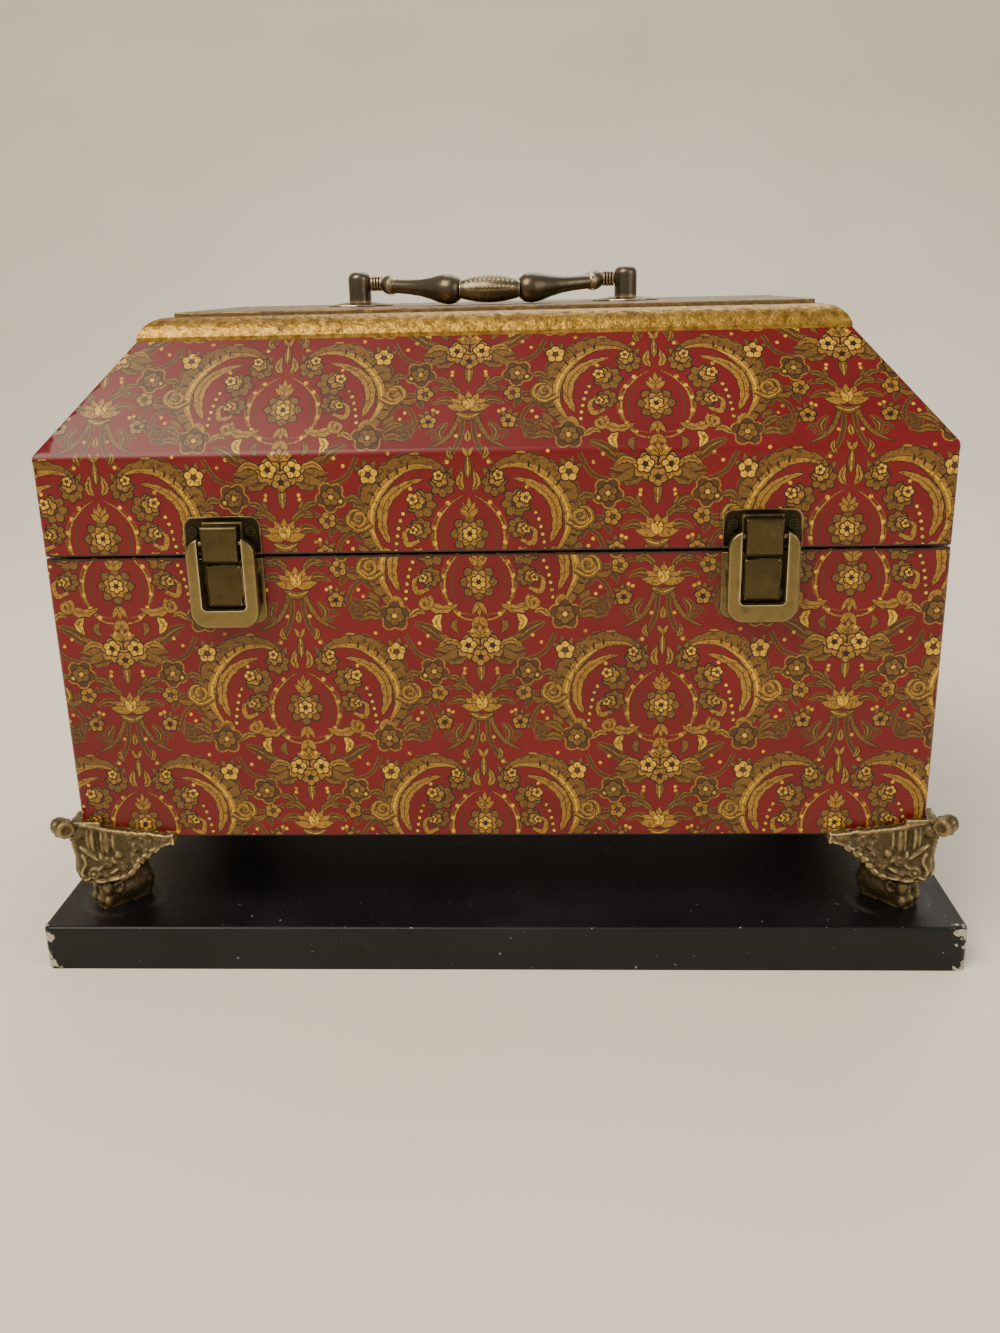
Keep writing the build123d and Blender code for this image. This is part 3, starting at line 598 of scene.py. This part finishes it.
scroll(-60, -14, 3.0, 0, 1.1, 1.2, "brown")
scroll(-64, 22, 3.0, 90, -1.1, 1.2, "brown")

# medallion
leaf([(0, -16.5), (-8, -14.5), (-13.2, -6), (-12.6, 4), (-7, 11.5), (-1.5, 15)],
     1.0, "gold", stem=0.8, step=2.5, rim=0.4)
leaf([(-2, -14), (-9.5, -12), (-14.6, -4), (-13.4, 5.5), (-7.5, 13)], 0.8, "olive", rim=0, step=3.0)
leaf([(-9, -9), (-10.8, -3), (-10, 3.5), (-6, 9)], 0.8, "brown", rim=0, step=3.0)
flower(0, -0.5, 7.4, 8, "olive", heart="gold", twin=False)
flower(0, -0.5, 5.0, 8, "gold", heart="brown", tilt=112.5, twin=False)
flower(0, -0.5, 2.9, 6, "pale", heart="line", twin=False)
for way, length in ((90, 8.0), (112, 6.4), (68, 6.4), (136, 5.2), (44, 5.2)):
    spray(0, 6.0, (way,), length, 2.2, "gold", twin=False)
spray(0, -8.5, (270, 240, 300), 6.0, 2.0, "gold", twin=False)
spray(0, -14.5, (270, 236, 304), 5.6, 2.6, "gold", twin=False)
for x, y in [(-8.2, -13.5), (-11.6, -9.5), (-13.7, -4), (-13.6, 2), (-11.6, 7.5), (-8.2, 11.8)]:
    disc(x, y, 0.9, "pale")

# flowers round the medallion
spray(-9, 20, (60, 100, 140, 180), 6.6, 2.2, "olive")
spray(-17, 11, (120, 160, 200), 7.5, 2.4, "olive")
spray(-18, 2, (170, 205, 240), 6.5, 2.2, "olive")
for x, y, radius, way in ((-10, 19.0, 4.9, 115), (-18.3, 11.4, 5.6, 150), (-19.0, 1.8, 4.2, 190)):
    flower(x, y, radius, 7, "olive", heart="brown", tilt=way)
    lift = heading(math.radians(way)) * radius * 0.45
    flower(x + lift.x, y + lift.y, radius * 0.62, 5, "gold", heart="line", tilt=way)
    flower(x + lift.x * 1.7, y + lift.y * 1.7, radius * 0.4, 5, "pale", heart="brown", tilt=way + 36)
leaf([(-1.5, 16.5), (-3.4, 19.5), (-2.2, 24.5)], 2.8, "gold", vein="line")
leaf([(0, 21), (0, 25), (0, 30)], 2.6, "olive", twin=False, vein="pale")
spray(0, 29.5, (62, 118), 4.4, 1.6, "gold", twin=False)
leaf([(-5.5, 28.5), (-7.4, 31.0), (-6.4, 34.0)], 2.0, "gold", vein="line")
leaf([(0, 35.5), (0, 38), (0, 41)], 2.6, "gold", twin=False, vein="line")
leaf([(-20, -3), (-24.5, -4.5), (-25.5, 0.5), (-22.5, 2.5)], 2.2, "gold", stem=0.6)
leaf([(-22, -6), (-18.5, -10.5), (-13, -11.5), (-8.5, -9.5)], 4.4, "gold", lobes=5, vein="brown")
scroll(-21.5, -8.8, 3.0, 60, -1.3, 1.6, "gold")
leaf([(-15, -13.5), (-17.5, -16.5), (-15.5, -20.5)], 3.4, "pale", vein="brown")
leaf([(-9, -15.5), (-10.5, -18.5), (-8.5, -21.5)], 2.6, "olive")

# bouquet under the medallion
spray(0, -24, (90, 60, 120, 35, 145), 6.2, 2.2, "gold", twin=False)
spray(-6, -28, (150, 180, 205), 13.0, 3.4, "olive")
flower(-4.6, -27.4, 5.2, 6, "gold", heart="brown", tilt=100)
flower(-4.9, -26.6, 3.4, 5, "pale", heart="line", tilt=80)
flower(0, -31.5, 3.6, 5, "gold", heart="line", tilt=270, twin=False)
leaf([(-8, -26), (-13, -24.5), (-17, -27.5)], 3.0, "gold", lobes=3, vein="line")
spray(-34, -29, (30, 75, 120, 165, 210), 6.4, 2.2, "olive")
flower(-34, -29, 3.8, 5, "pale", heart="brown", tilt=90)
flower(-19, -37.5, 5.8, 5, "brown", heart="gold", tilt=60)
flower(-19, -37.5, 3.6, 5, "olive", heart="pale", tilt=96)
leaf([(-24, -39), (-28, -38), (-31, -41)], 3.0, "olive", vein="line")
leaf([(-14, -40), (-10.5, -40), (-7, -43)], 2.6, "olive", vein="line")

# lotus between the bouquet and the arches below
spray(0, -54, (90, 62, 118, 36, 144, 12, 168), 8.6, 3.4, "gold", twin=False)
spray(0, -54, (90, 70, 110), 5.6, 2.6, "pale", twin=False)
leaf([(-5, -55.5), (0, -57.5), (5, -55.5)], 3.0, "olive", twin=False, vein="pale")
spray(-15.5, -59, (60, 100, 140, 180, 220), 5.6, 1.9, "olive")
flower(-15.5, -59.5, 3.2, 5, "gold", heart="line")
leaf([(-8, -60), (-11, -64), (-9.5, -69)], 2.6, "brown", vein="gold")
spray(-22, -66, (95, 140, 185), 5.4, 1.9, "brown")
for x, y in [(-24.5, -25.5), (-42, -21), (-50, 13), (-6.5, -36.5), (-12, -55), (-21, -22.5), (-4.5, -66),
             (-26.5, -58), (-59, -2), (-66, 14), (-8, 27.5), (-3, -20.5), (-22.5, 17.5), (-48, -3)]:
    disc(x, y, 0.8, "pale", sides=6)

# one repeat, cut by Delaunay into faces that each hold one ink
tile_width, tile_height = repeat_across / 2, repeat_up
corners, lines = [], []


def enter(points):
    """Enters a closed outline among the lines that the faces keep to."""
    first = len(corners)
    corners.extend(Vector(p) for p in points)
    lines.extend((first + i, first + (i + 1) % len(points)) for i in range(len(points)))


enter([(0, 0), (tile_width, 0), (tile_width, tile_height), (0, tile_height)])
placed = []
cell = 6.0
cells = {}
for points, ink in printed:
    low = [min(p[k] for p in points) for k in (0, 1)]
    high = [max(p[k] for p in points) for k in (0, 1)]
    for across in (-1, 0, 1, 2):
        for up in (-2, -1, 0, 1, 2, 3, 4):
            if (across + up) % 2:
                continue
            dx, dy = across * tile_width, up * tile_height / 2
            if high[0] + dx < 0 or low[0] + dx > tile_width or high[1] + dy < 0 or low[1] + dy > tile_height:
                continue
            moved = [(x + dx, y + dy) for x, y in points]
            enter(moved)
            for i in range(int((low[0] + dx) // cell), int((high[0] + dx) // cell) + 1):
                for j in range(int((low[1] + dy) // cell), int((high[1] + dy) // cell) + 1):
                    cells.setdefault((i, j), []).append(len(placed))
            placed.append((moved, ink))


def ink_at(x, y):
    """The ink on top at a point."""
    for number in reversed(cells.get((int(x // cell), int(y // cell)), [])):
        points, ink = placed[number]
        winding = 0
        for (ax, ay), (bx, by) in zip(points, points[1:] + points[:1]):
            if (ay <= y) != (by <= y):
                side = (bx - ax) * (y - ay) - (x - ax) * (by - ay)
                winding += 1 if by > ay and side > 0 else -1 if by < ay and side < 0 else 0
        if winding:
            return ink
    return ink_places["red"]


cut = delaunay_2d_cdt(corners, lines, [], 0, 0.002)
tile_points = [tuple(p) for p in cut[0]]
tile_faces, tile_inks = [], []
for face in cut[2]:
    x = sum(tile_points[i][0] for i in face) / len(face)
    y = sum(tile_points[i][1] for i in face) / len(face)
    if 0 < x < tile_width and 0 < y < tile_height:
        tile_faces.append(tuple(face))
        tile_inks.append(ink_at(x, y))
tile = bpy.data.meshes.new("paper_repeat")
tile.from_pydata([(x, y, 0.0) for x, y in tile_points], [], tile_faces)
merged = bmesh.new()
merged.from_mesh(tile)
merged.faces.ensure_lookup_table()
for face, value in zip(merged.faces, tile_inks):
    face.material_index = int(value)
bmesh.ops.delete(merged, geom=[v for v in merged.verts if not v.link_faces], context="VERTS")
bmesh.ops.dissolve_limit(merged, angle_limit=0.02, verts=merged.verts, edges=merged.edges,
                         delimit={"MATERIAL"})
bmesh.ops.triangulate(merged, faces=merged.faces)
merged.verts.index_update()
tile_points = [(v.co.x, v.co.y) for v in merged.verts]
tile_faces = [tuple(v.index for v in face.verts) for face in merged.faces]
tile_inks = [face.material_index + 0.5 for face in merged.faces]
merged.free()


def rounded(path):
    """A folded line with its corners rounded: points of (inset, height), and the way each faces."""
    made = []
    for number, (inset, height, radius) in enumerate(path):
        here = Vector((inset, height))
        if radius == 0:
            other = path[1] if number == 0 else path[-2]
            way = (Vector(other[:2]) - here).normalized() * (1 if number == 0 else -1)
            made.append((here, Vector((-way.y, way.x))))
            continue
        before = (Vector(path[number - 1][:2]) - here).normalized()
        after = (Vector(path[number + 1][:2]) - here).normalized()
        half = before.angle(after) / 2
        centre = here + (before + after).normalized() * radius / math.sin(half)
        start = here + before * radius / math.tan(half) - centre
        end = here + after * radius / math.tan(half) - centre
        steps = 2 if radius < 2 else 5
        for i in range(steps + 1):
            way = start.slerp(end, i / steps).normalized() if 0 < i < steps else (start, end)[i == steps]
            way = way.normalized()
            made.append((centre + way * radius, way))
    return made


def round_at(height):
    """The radius of the upright corners, which end at the knee; the hips above it are sharp."""
    share = min(max((height - lid_knee + 3.0) / 4.0, 0.0), 1.0)
    return corner_round + (hip_round - corner_round) * share


turns = {"front": 0, "right": 1, "back": 2, "left": 3}
corner_round, hip_round = 2.0, 0.25
proud, turned_under, shortest_cut = 0.1, 8, 2.0
paper_material, tree = new_material("printed_varnished_paper", "#6E040C", 0.42, Coat_Weight=0.2,
                                    Coat_Roughness=0.2, Specular_IOR_Level=0.28)
spot = add(tree, "ShaderNodeTexCoord", {}, out="Object")
ink = add(tree, "ShaderNodeAttribute", {}, out="Fac", attribute_name="ink")
share = add(tree, "ShaderNodeMath", {0: ink, 1: 6.0}, operation="DIVIDE")
ink_colours = ["#6E040C", "#241008", "#4C300E", "#735318", "#A07622", "#DDAC26"]
inked = add(tree, "ShaderNodeValToRGB", {"Fac": share},
            stops=[(number / 6, colour) for number, colour in enumerate(ink_colours)])
inked.node.color_ramp.interpolation = "CONSTANT"
hatch = add(tree, "ShaderNodeTexNoise", {"Vector": spot, "Scale": 1000 / 1.5, "Detail": 3.0,
                                         "Distortion": 1.5})
hatched = add(tree, "ShaderNodeMapRange", {"Value": hatch, "From Min": 0.50, "From Max": 0.62, "To Max": 0.8})
golden = add(tree, "ShaderNodeMath", {0: ink, 1: 2.0}, operation="GREATER_THAN")
amount = add(tree, "ShaderNodeMath", {0: hatched, 1: golden}, operation="MULTIPLY")
engraved = add(tree, "ShaderNodeMix", {0: amount, 6: inked, 7: "#4A2C10"}, out=2, data_type="RGBA")
cloud = add(tree, "ShaderNodeTexNoise", {"Vector": spot, "Scale": 1000 / 30, "Detail": 3.0})
shade = add(tree, "ShaderNodeValToRGB", {"Fac": cloud}, stops=[(0.3, "#E4E0DC"), (0.7, "#FFFFFF")])
add(tree, "ShaderNodeMix", {0: 1.0, 6: engraved, 7: shade}, out=2, data_type="RGBA",
    blend_type="MULTIPLY", to="Base Color")
add(tree, "ShaderNodeMapRange", {"Value": cloud, "To Min": 0.30, "To Max": 0.46}, to="Roughness")
add(tree, "ShaderNodeBump", {"Height": cloud, "Distance": 0.25 * mm, "Strength": 0.5}, to="Normal")


def paper_side(body, side, path, middle, level):
    """Glues the paper to one side: cut to the side's outline, folded along the path and round its
    upright corners. The repeat's medallion stands at middle across and level up the path's length."""
    name = "paper_" + body + "_" + side
    half, away = (half_long, half_deep) if side in ("front", "back") else (half_deep, half_long)
    fold = rounded(path)
    places = [0.0]
    for (a, _), (b, _) in zip(fold, fold[1:]):
        places.append(places[-1] + (b - a).length)
    limits = [half - p.x - round_at(p.y) * (1 - math.pi / 4) for p, _ in fold]
    widest, top = max(limits), places[-1]
    points, faces, inks = [], [], []
    for i in range(math.floor((-widest - middle) / tile_width), math.ceil((widest - middle) / tile_width)):
        lift = level + (tile_height / 2 if i % 2 else 0.0)
        for j in range(math.floor(-lift / tile_height), math.ceil((top - lift) / tile_height)):
            first = len(points)
            dx, dy = middle + i * tile_width, lift + j * tile_height
            points += [(x + dx, y + dy, 0.0) for x, y in tile_points]
            faces += [tuple(first + k for k in face) for face in tile_faces]
            inks += tile_inks
    mesh = bpy.data.meshes.new(name)
    mesh.from_pydata(points, [], faces)
    mesh.attributes.new("ink", "FLOAT", "FACE").data.foreach_set("value", inks)
    sheet = bmesh.new()
    sheet.from_mesh(mesh)
    bmesh.ops.remove_doubles(sheet, verts=sheet.verts, dist=0.004)

    def slice_sheet(co, normal, clear):
        """Cuts the sheet along a plane, and clears what lies beyond it if asked to."""
        bmesh.ops.bisect_plane(sheet, geom=sheet.verts[:] + sheet.edges[:] + sheet.faces[:], dist=0.0005,
                               plane_co=co, plane_no=normal, clear_outer=clear)

    slice_sheet((0, 0, 0), (0, -1, 0), True)
    slice_sheet((0, top, 0), (0, 1, 0), True)
    for (low, near), (high, far) in zip(zip(places, limits), zip(places[1:], limits[1:])):
        if high - low < shortest_cut:
            continue
        slope = (near - far) / (high - low)
        slice_sheet((near, low, 0), (1, slope, 0), True)
        slice_sheet((-near, low, 0), (-1, slope, 0), True)
    for place in places[1:-1]:
        slice_sheet((0, place, 0), (0, 1, 0), False)
    for share in (0.0, math.pi / 8):
        reach = half - path[1][0] - corner_round * (1 - share)
        for sign in (-1, 1):
            slice_sheet((sign * reach, 0, 0), (1, 0, 0), False)
    bmesh.ops.triangulate(sheet, faces=[f for f in sheet.faces if len(f.verts) > 3])
    quarter = Matrix.Rotation(turns[side] * math.pi / 2, 3, "Z")
    normals = []
    for vertex in sheet.verts:
        s, t = vertex.co.x, min(max(vertex.co.y, 0.0), top)
        k = 0
        while k < len(places) - 2 and t > places[k + 1]:
            k += 1
        part = (t - places[k]) / (places[k + 1] - places[k])
        inset, height = fold[k][0].lerp(fold[k + 1][0], part)
        face_way = fold[k][1].lerp(fold[k + 1][1], part)
        radius = round_at(height)
        straight = half - inset - radius
        phi = min(max(abs(s) - straight, 0.0) / radius, math.pi / 4)
        x = min(abs(s), straight) + radius * math.sin(phi)
        inward = inset + radius * (1 - math.cos(phi))
        sign = 1 if s > 0 else -1
        vertex.co = quarter @ Vector((sign * x, -(away - inward), height)) * mm
        out = quarter @ Vector((sign * math.sin(phi) * -face_way.x, math.cos(phi) * face_way.x, face_way.y))
        normals.append(out.normalized())
    sheet.to_mesh(mesh)
    sheet.free()
    mesh.shade_smooth()
    mesh.normals_split_custom_set_from_vertices(normals)
    mesh.materials.append(paper_material)
    piece = new_piece(name, mesh)
    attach(piece, body)


case_path = [(turned_under, case_floor - proud, 0), (-proud, case_floor - proud, 0.8),
             (-proud, case_top + proud, 1.0), (case_wall - 0.2, case_top + proud, 0)]
lid_path = [(lid_wall, lid_floor - proud, 0), (-proud, lid_floor - proud, 1.0), (-proud, lid_knee, 5.0),
            (slope_run - 0.1, slope_top, 0)]
case_medallion, lid_medallion = 113.0 - case_floor + turned_under, 184.4 - lid_floor + lid_wall
for side in sides:
    case_middle, lid_middle = (67.7, -7.9) if side in ("front", "back") else (30.0, 30.0)
    paper_side("case", side, case_path, case_middle, case_medallion)
    paper_side("lid", side, lid_path, lid_middle, lid_medallion)

# Gilt trim: a cushion moulding of stained pine round the lid's top, mitred and glued, and a thin board
# over it. Both are laid with metal leaf over brown size, which shows through where the leaf is rubbed.
def leafing(name, leaf_colour, shine_colour, rubbed_colour, rubbed_from, rubbed_to):
    """Metal leaf on wood, with small lumps under it, cracks, and rubbed places."""
    made, tree = new_material(name, leaf_colour, 0.36, 0.85)
    spot = add(tree, "ShaderNodeTexCoord", {}, out="Object")
    lumps = add(tree, "ShaderNodeTexNoise", {"Vector": spot, "Scale": 1000 / 3.2, "Detail": 4.0,
                                             "Roughness": 0.62})
    rubs = add(tree, "ShaderNodeTexNoise", {"Vector": spot, "Scale": 1000 / 7.0, "Detail": 6.0,
                                            "Roughness": 0.7})
    pits = add(tree, "ShaderNodeTexNoise", {"Vector": spot, "Scale": 1000 / 0.9, "Detail": 1.0})
    gold = add(tree, "ShaderNodeValToRGB", {"Fac": lumps}, stops=[(0.38, leaf_colour), (0.64, shine_colour)])
    bare = add(tree, "ShaderNodeMapRange", {"Value": rubs, "From Min": rubbed_from, "From Max": rubbed_to})
    pitted = add(tree, "ShaderNodeMapRange", {"Value": pits, "From Min": 0.66, "From Max": 0.72,
                                              "To Max": 0.7})
    most = add(tree, "ShaderNodeMath", {0: bare, 1: pitted}, operation="MAXIMUM")
    add(tree, "ShaderNodeMix", {0: most, 6: gold, 7: rubbed_colour}, out=2, data_type="RGBA",
        to="Base Color")
    add(tree, "ShaderNodeMapRange", {"Value": most, "To Min": 0.85, "To Max": 0.1}, to="Metallic")
    add(tree, "ShaderNodeMapRange", {"Value": most, "To Min": 0.33, "To Max": 0.62}, to="Roughness")
    add(tree, "ShaderNodeBump", {"Height": lumps, "Distance": 0.7 * mm}, to="Normal")
    return made


moulding_leaf = leafing("gold_leafed_moulding", "#7E5E20", "#B99240", "#4C2F15", 0.58, 0.68)
board_leaf = leafing("rubbed_gilt_board", "#74603E", "#957C4C", "#54433A", 0.48, 0.68)
for side in sides:
    dress(moulding_leaf, "moulding_" + side)
dress(board_leaf, "top_board")

# Handle: a cast zinc bail plated in dark bronze, hung by pins in two posts. The posts are threaded into
# the lid through stepped rosettes, and held by washers and nuts inside.
dark_bronze = patina("dark_bronze_plating", "#17140F", "#5C5446", "#8A7B60", "#DACBA6",
                     0.26, 0.9, 3.0, 1.8, 2.6, 0.06)
rosette_reach = 15.0
left_end, right_end = span("handle_rosette_left")[0][0], span("handle_rosette_right")[1][0]
handle_middle, post_reach = (left_end + right_end) / 2, (right_end - left_end) / 2 - rosette_reach
handle_top = span("top_board")[1][2]
pin_level = handle_top + 9.5
bail_lean = math.radians(8.63)
bail_parts = []


def turned(outline, start, end, sides_round=36, name="turned"):
    """A turned piece: its outline of (along, radius) in mm, spun round the line from start to end."""
    mesh = bpy.data.meshes.new(name)
    first, last = outline[0][0], outline[-1][0]
    points = [(0, 0, first), *[(radius, 0, reach) for reach, radius in outline], (0, 0, last)]
    mesh.from_pydata([Vector(p) * mm for p in points], [(i, i + 1) for i in range(len(points) - 1)], [])
    piece = new_piece(name, mesh)
    bpy.ops.object.mode_set(mode="EDIT")
    bpy.ops.mesh.select_all(action="SELECT")
    bpy.ops.mesh.spin(steps=sides_round, angle=math.tau, center=(0, 0, 0), axis=(0, 0, 1))
    bpy.ops.mesh.select_all(action="SELECT")
    bpy.ops.mesh.remove_doubles(threshold=0.00001)
    bpy.ops.mesh.normals_make_consistent(inside=False)
    bpy.ops.object.mode_set(mode="OBJECT")
    bpy.ops.object.shade_smooth_by_angle(angle=math.radians(35))
    start, end = Vector(start), Vector(end)
    facing = (end - start).to_track_quat("Z", "Y").to_matrix().to_4x4()
    mesh.transform(Matrix.Translation(start * mm) @ facing)
    return piece


def bail_place(x, drop):
    """A place on the resting bail, x along it and drop from its axis."""
    return Vector((handle_middle + x, -drop * math.cos(bail_lean), pin_level - drop * math.sin(bail_lean)))


def swell(length, ends, middle, steps=12):
    """Half outline of an oval bead."""
    return [(-length / 2 + length * i / steps,
             ends + (middle - ends) * math.sin(math.pi * i / steps) ** 0.8) for i in range(steps + 1)]


for hand in (-1, 1):
    knurl = [(0, 2.0), (5.4, 2.0), (5.5, 3.0)]
    for ridge in range(5):
        knurl += [(5.7 + ridge * 1.3, 3.3), (6.3 + ridge * 1.3, 3.3), (6.6 + ridge * 1.3, 2.7)]
    knurl += [(13.4, 2.9)]
    bail_parts.append(turned(knurl, bail_place(hand * 60.0, 0), bail_place(hand * 45, 0)))
    elbow, collar = bail_place(hand * 48, 0), bail_place(hand * 43.5, 8)
    ball = bail_place(hand * 17.5, 20.2)
    bail_parts.append(turned([(3.3 * -math.cos(math.pi * i / 12), 3.3 * math.sin(math.pi * i / 12))
                              for i in range(13)][1:-1], elbow, collar))
    neck = (collar - elbow).length
    bail_parts.append(turned([(0, 2.6), (2.0, 2.7), (2.4, 3.2), (3.4, 3.9), (5.6, 4.1), (7.6, 3.9),
                              (8.6, 3.2), (neck + 0.8, 2.9)], elbow, collar))
    run = (ball - collar).length
    tube = [(-1.8, 2.6), (-1.2, 3.3), (0.2, 3.4), (0.8, 2.9), (run * 0.3, 3.1), (run * 0.5, 3.6),
            (run * 0.68, 4.6), (run * 0.82, 5.7), (run * 0.92, 6.15), (run, 6.3), (run + 2.6, 5.7),
            (run + 4.6, 4.3), (run + 5.6, 2.8)]
    flared = turned(tube, collar, ball, 48)
    axis = (ball - collar).normalized()
    for vertex in flared.data.vertices:
        reach = vertex.co / mm - collar
        out = reach - axis * reach.dot(axis)
        if out.length > 0.1 and 1.0 < reach.dot(axis) < run * 0.86:
            groove = max(1.0 - abs(out.normalized().dot(Vector((0, -0.5, 0.87)))) / 0.13, 0.0)
            vertex.co -= out.normalized() * groove * 0.45 * mm
    bail_parts.append(flared)
barrel_length, barrel_end, barrel_radius, barrel_drop = 26.0, 3.4, 5.5, 22
bail_parts.append(turned(swell(barrel_length, barrel_end, barrel_radius, 16), bail_place(0, barrel_drop),
                         bail_place(1, barrel_drop)))
down = Vector((0, -math.sin(bail_lean), -math.cos(bail_lean)))
out = Vector((0, -math.cos(bail_lean), math.sin(bail_lean)))
for row in (0, 5, 6, 7, 8, 9):
    angle = math.tau * row / 10
    count = 11 if row % 2 else 12
    for number in range(count):
        share = (number + 0.5) / count
        swelling = math.sin(math.pi * (0.08 + 0.84 * share)) ** 0.8
        reach = barrel_end + (barrel_radius - barrel_end) * swelling
        size = (1.1 if row % 5 == 0 else 0.75) * (0.6 + 0.4 * math.sin(math.pi * share))
        place = bail_place(-10.9 + 21.8 * share, barrel_drop)
        place += (out * math.cos(angle) + down * math.sin(angle)) * reach
        bpy.ops.mesh.primitive_ico_sphere_add(subdivisions=2, radius=size * mm, location=place * mm)
        bail_parts.append(bpy.context.object)
bail = joined(bail_parts, "bail_casting")
bpy.ops.object.shade_smooth_by_angle(angle=math.radians(40))
bail.data.materials.clear()
bail.data.materials.append(dark_bronze)
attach(bail, "handle_bail")
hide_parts("handle_bail")
for hand, sign in (("left", -1), ("right", 1)):
    x = handle_middle + sign * post_reach
    rosette = turned([(0, 14.6), (0.35, rosette_reach), (0.6, 14.9), (0.8, 13.0), (0.75, 12.4), (1.05, 11.8),
                      (1.25, 9.0), (1.25, 8.4), (1.6, 7.6), (1.6, 2.2)],
                     (x, 0, handle_top), (x, 0, handle_top + 1), 48, "rosette_" + hand)
    for vertex in rosette.data.vertices:
        off = Vector((vertex.co.x - x * mm, vertex.co.y)) / mm
        if off.length > 12.9:
            petals = 0.5 + 0.5 * math.cos(12 * math.atan2(off.y, off.x))
            pull = 0.955 + 0.045 * petals
            vertex.co.x, vertex.co.y = (x + off.x * pull) * mm, off.y * pull * mm
    rosette.data.materials.append(dark_bronze)
    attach(rosette, "lid")
    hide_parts("handle_rosette_" + hand)
    dress(dark_bronze, "handle_post_" + hand)

zinc_steel = patina("zinc_plated_steel", "#4A4A48", "#83837F", "#8E8E8A", "#C9C9C4",
                    0.38, 0.95, 1.0, 0.6, 1.2, 0.03)
dress(zinc_steel, "handle_washers", "handle_nuts")

# Latches: stamped steel plated in antique brass, a pair on the front. A rimmed plate with a raised cap
# is screwed to the lid, a frame swings on the cap's pins, and a catch plate is screwed to the case.
antique_brass = patina("antique_brass_plating", "#15110A", "#74653E", "#938357", "#EADFB2",
                       0.25, 0.92, 3.0, 1.1, 6.0, 0.10)
stamped_brass = patina("stamped_brass_plating", "#15110A", "#665936", "#8A7A50", "#EADFB2",
                       0.25, 0.92, 3.0, 0.35, 5.0, 0.10)
# A darker copy of the same plating for the raised cap and the catch: painted shade, as those faces turn from
# the light.
shade_painted_brass = patina("darkened_brass_plating", "#120E08", "#4C4228", "#7C6D48", "#E2D6A8",
                        0.27, 0.92, 3.0, 0.35, 5.0, 0.10)
recess_wash = patina("dark_wash_in_recess", "#0B0805", "#2B2516", "#3A3320", "#7A6C48",
                     0.4, 0.85, 2.0, 0.3, 3.0, 0.05)
blackened_steel = patina("blackened_steel_screws", "#0D0B08", "#2A2419", "#3A3222", "#6A5F40",
                         0.45, 0.9, 0.8, 0.5, 1.0, 0.03)
plate_face, rim_width, rim_height = span("latch_case_plate_left")[0][1], 0.7, 0.45
sharp_angle = math.radians(35)


def bevelled(piece, width, segments):
    """Rounds a piece's edges and shades it smooth."""
    pick(piece)
    altered(piece, "BEVEL", width=width * mm, segments=segments, limit_method="ANGLE",
            angle_limit=sharp_angle, use_clamp_overlap=True)
    bpy.ops.object.shade_smooth_by_angle(angle=math.radians(40))


def recess(piece):
    """Sinks a plate's front face, leaving a raised rim at its edges and round its holes."""
    pick(piece)
    bpy.ops.object.mode_set(mode="EDIT")
    bpy.ops.mesh.select_mode(type="FACE")
    bpy.ops.mesh.select_all(action="DESELECT")
    bpy.ops.object.mode_set(mode="OBJECT")
    for face in piece.data.polygons:
        face.select = face.normal.y < -0.99 and abs(face.center.y / mm - plate_face) < 0.05
    bpy.ops.object.mode_set(mode="EDIT")
    bpy.ops.mesh.inset(thickness=rim_width * mm, depth=-rim_height * mm)
    bpy.ops.object.mode_set(mode="OBJECT")


for hand in ("left", "right"):
    for node_name, body, plating, width, segments in (
            ("latch_swing_", "latch_swing_" + hand, antique_brass, 1.45, 5),
            ("latch_catch_", "case", shade_painted_brass, 1.0, 4),
            ("latch_lid_plate_", "lid", stamped_brass, 0.35, 3),
            ("latch_case_plate_", "case", stamped_brass, 0.3, 2)):
        piece = merged_copy(node_name + hand, node_name.replace("latch_", "brass_") + hand)
        piece.data.materials.append(plating)
        if node_name == "latch_lid_plate_":
            recess(piece)
            piece.data.materials.append(shade_painted_brass)
            piece.data.materials.append(recess_wash)
            # The sunk floor takes the dark wash; the raised cap takes the darker copy with its painted shade.
            for face in piece.data.polygons:
                sunk = face.normal.y < -0.99 and face.center.y / mm > plate_face + 0.3
                face.material_index = 2 if sunk else int(face.center.y / mm < plate_face - 0.2)
        bevelled(piece, width, segments)
        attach(piece, body)
        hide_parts(node_name + hand)
dress(blackened_steel, "latch_lid_screws", "latch_case_screws")

# Hinges: a pair of rolled steel butts on the back, brassed, each of two leaves on a pin, screwed on.
for hand in ("left", "right"):
    dress(antique_brass, "hinge_lid_leaf_" + hand, "hinge_case_leaf_" + hand, "hinge_pin_" + hand)
dress(blackened_steel, "hinge_lid_screws", "hinge_case_screws")
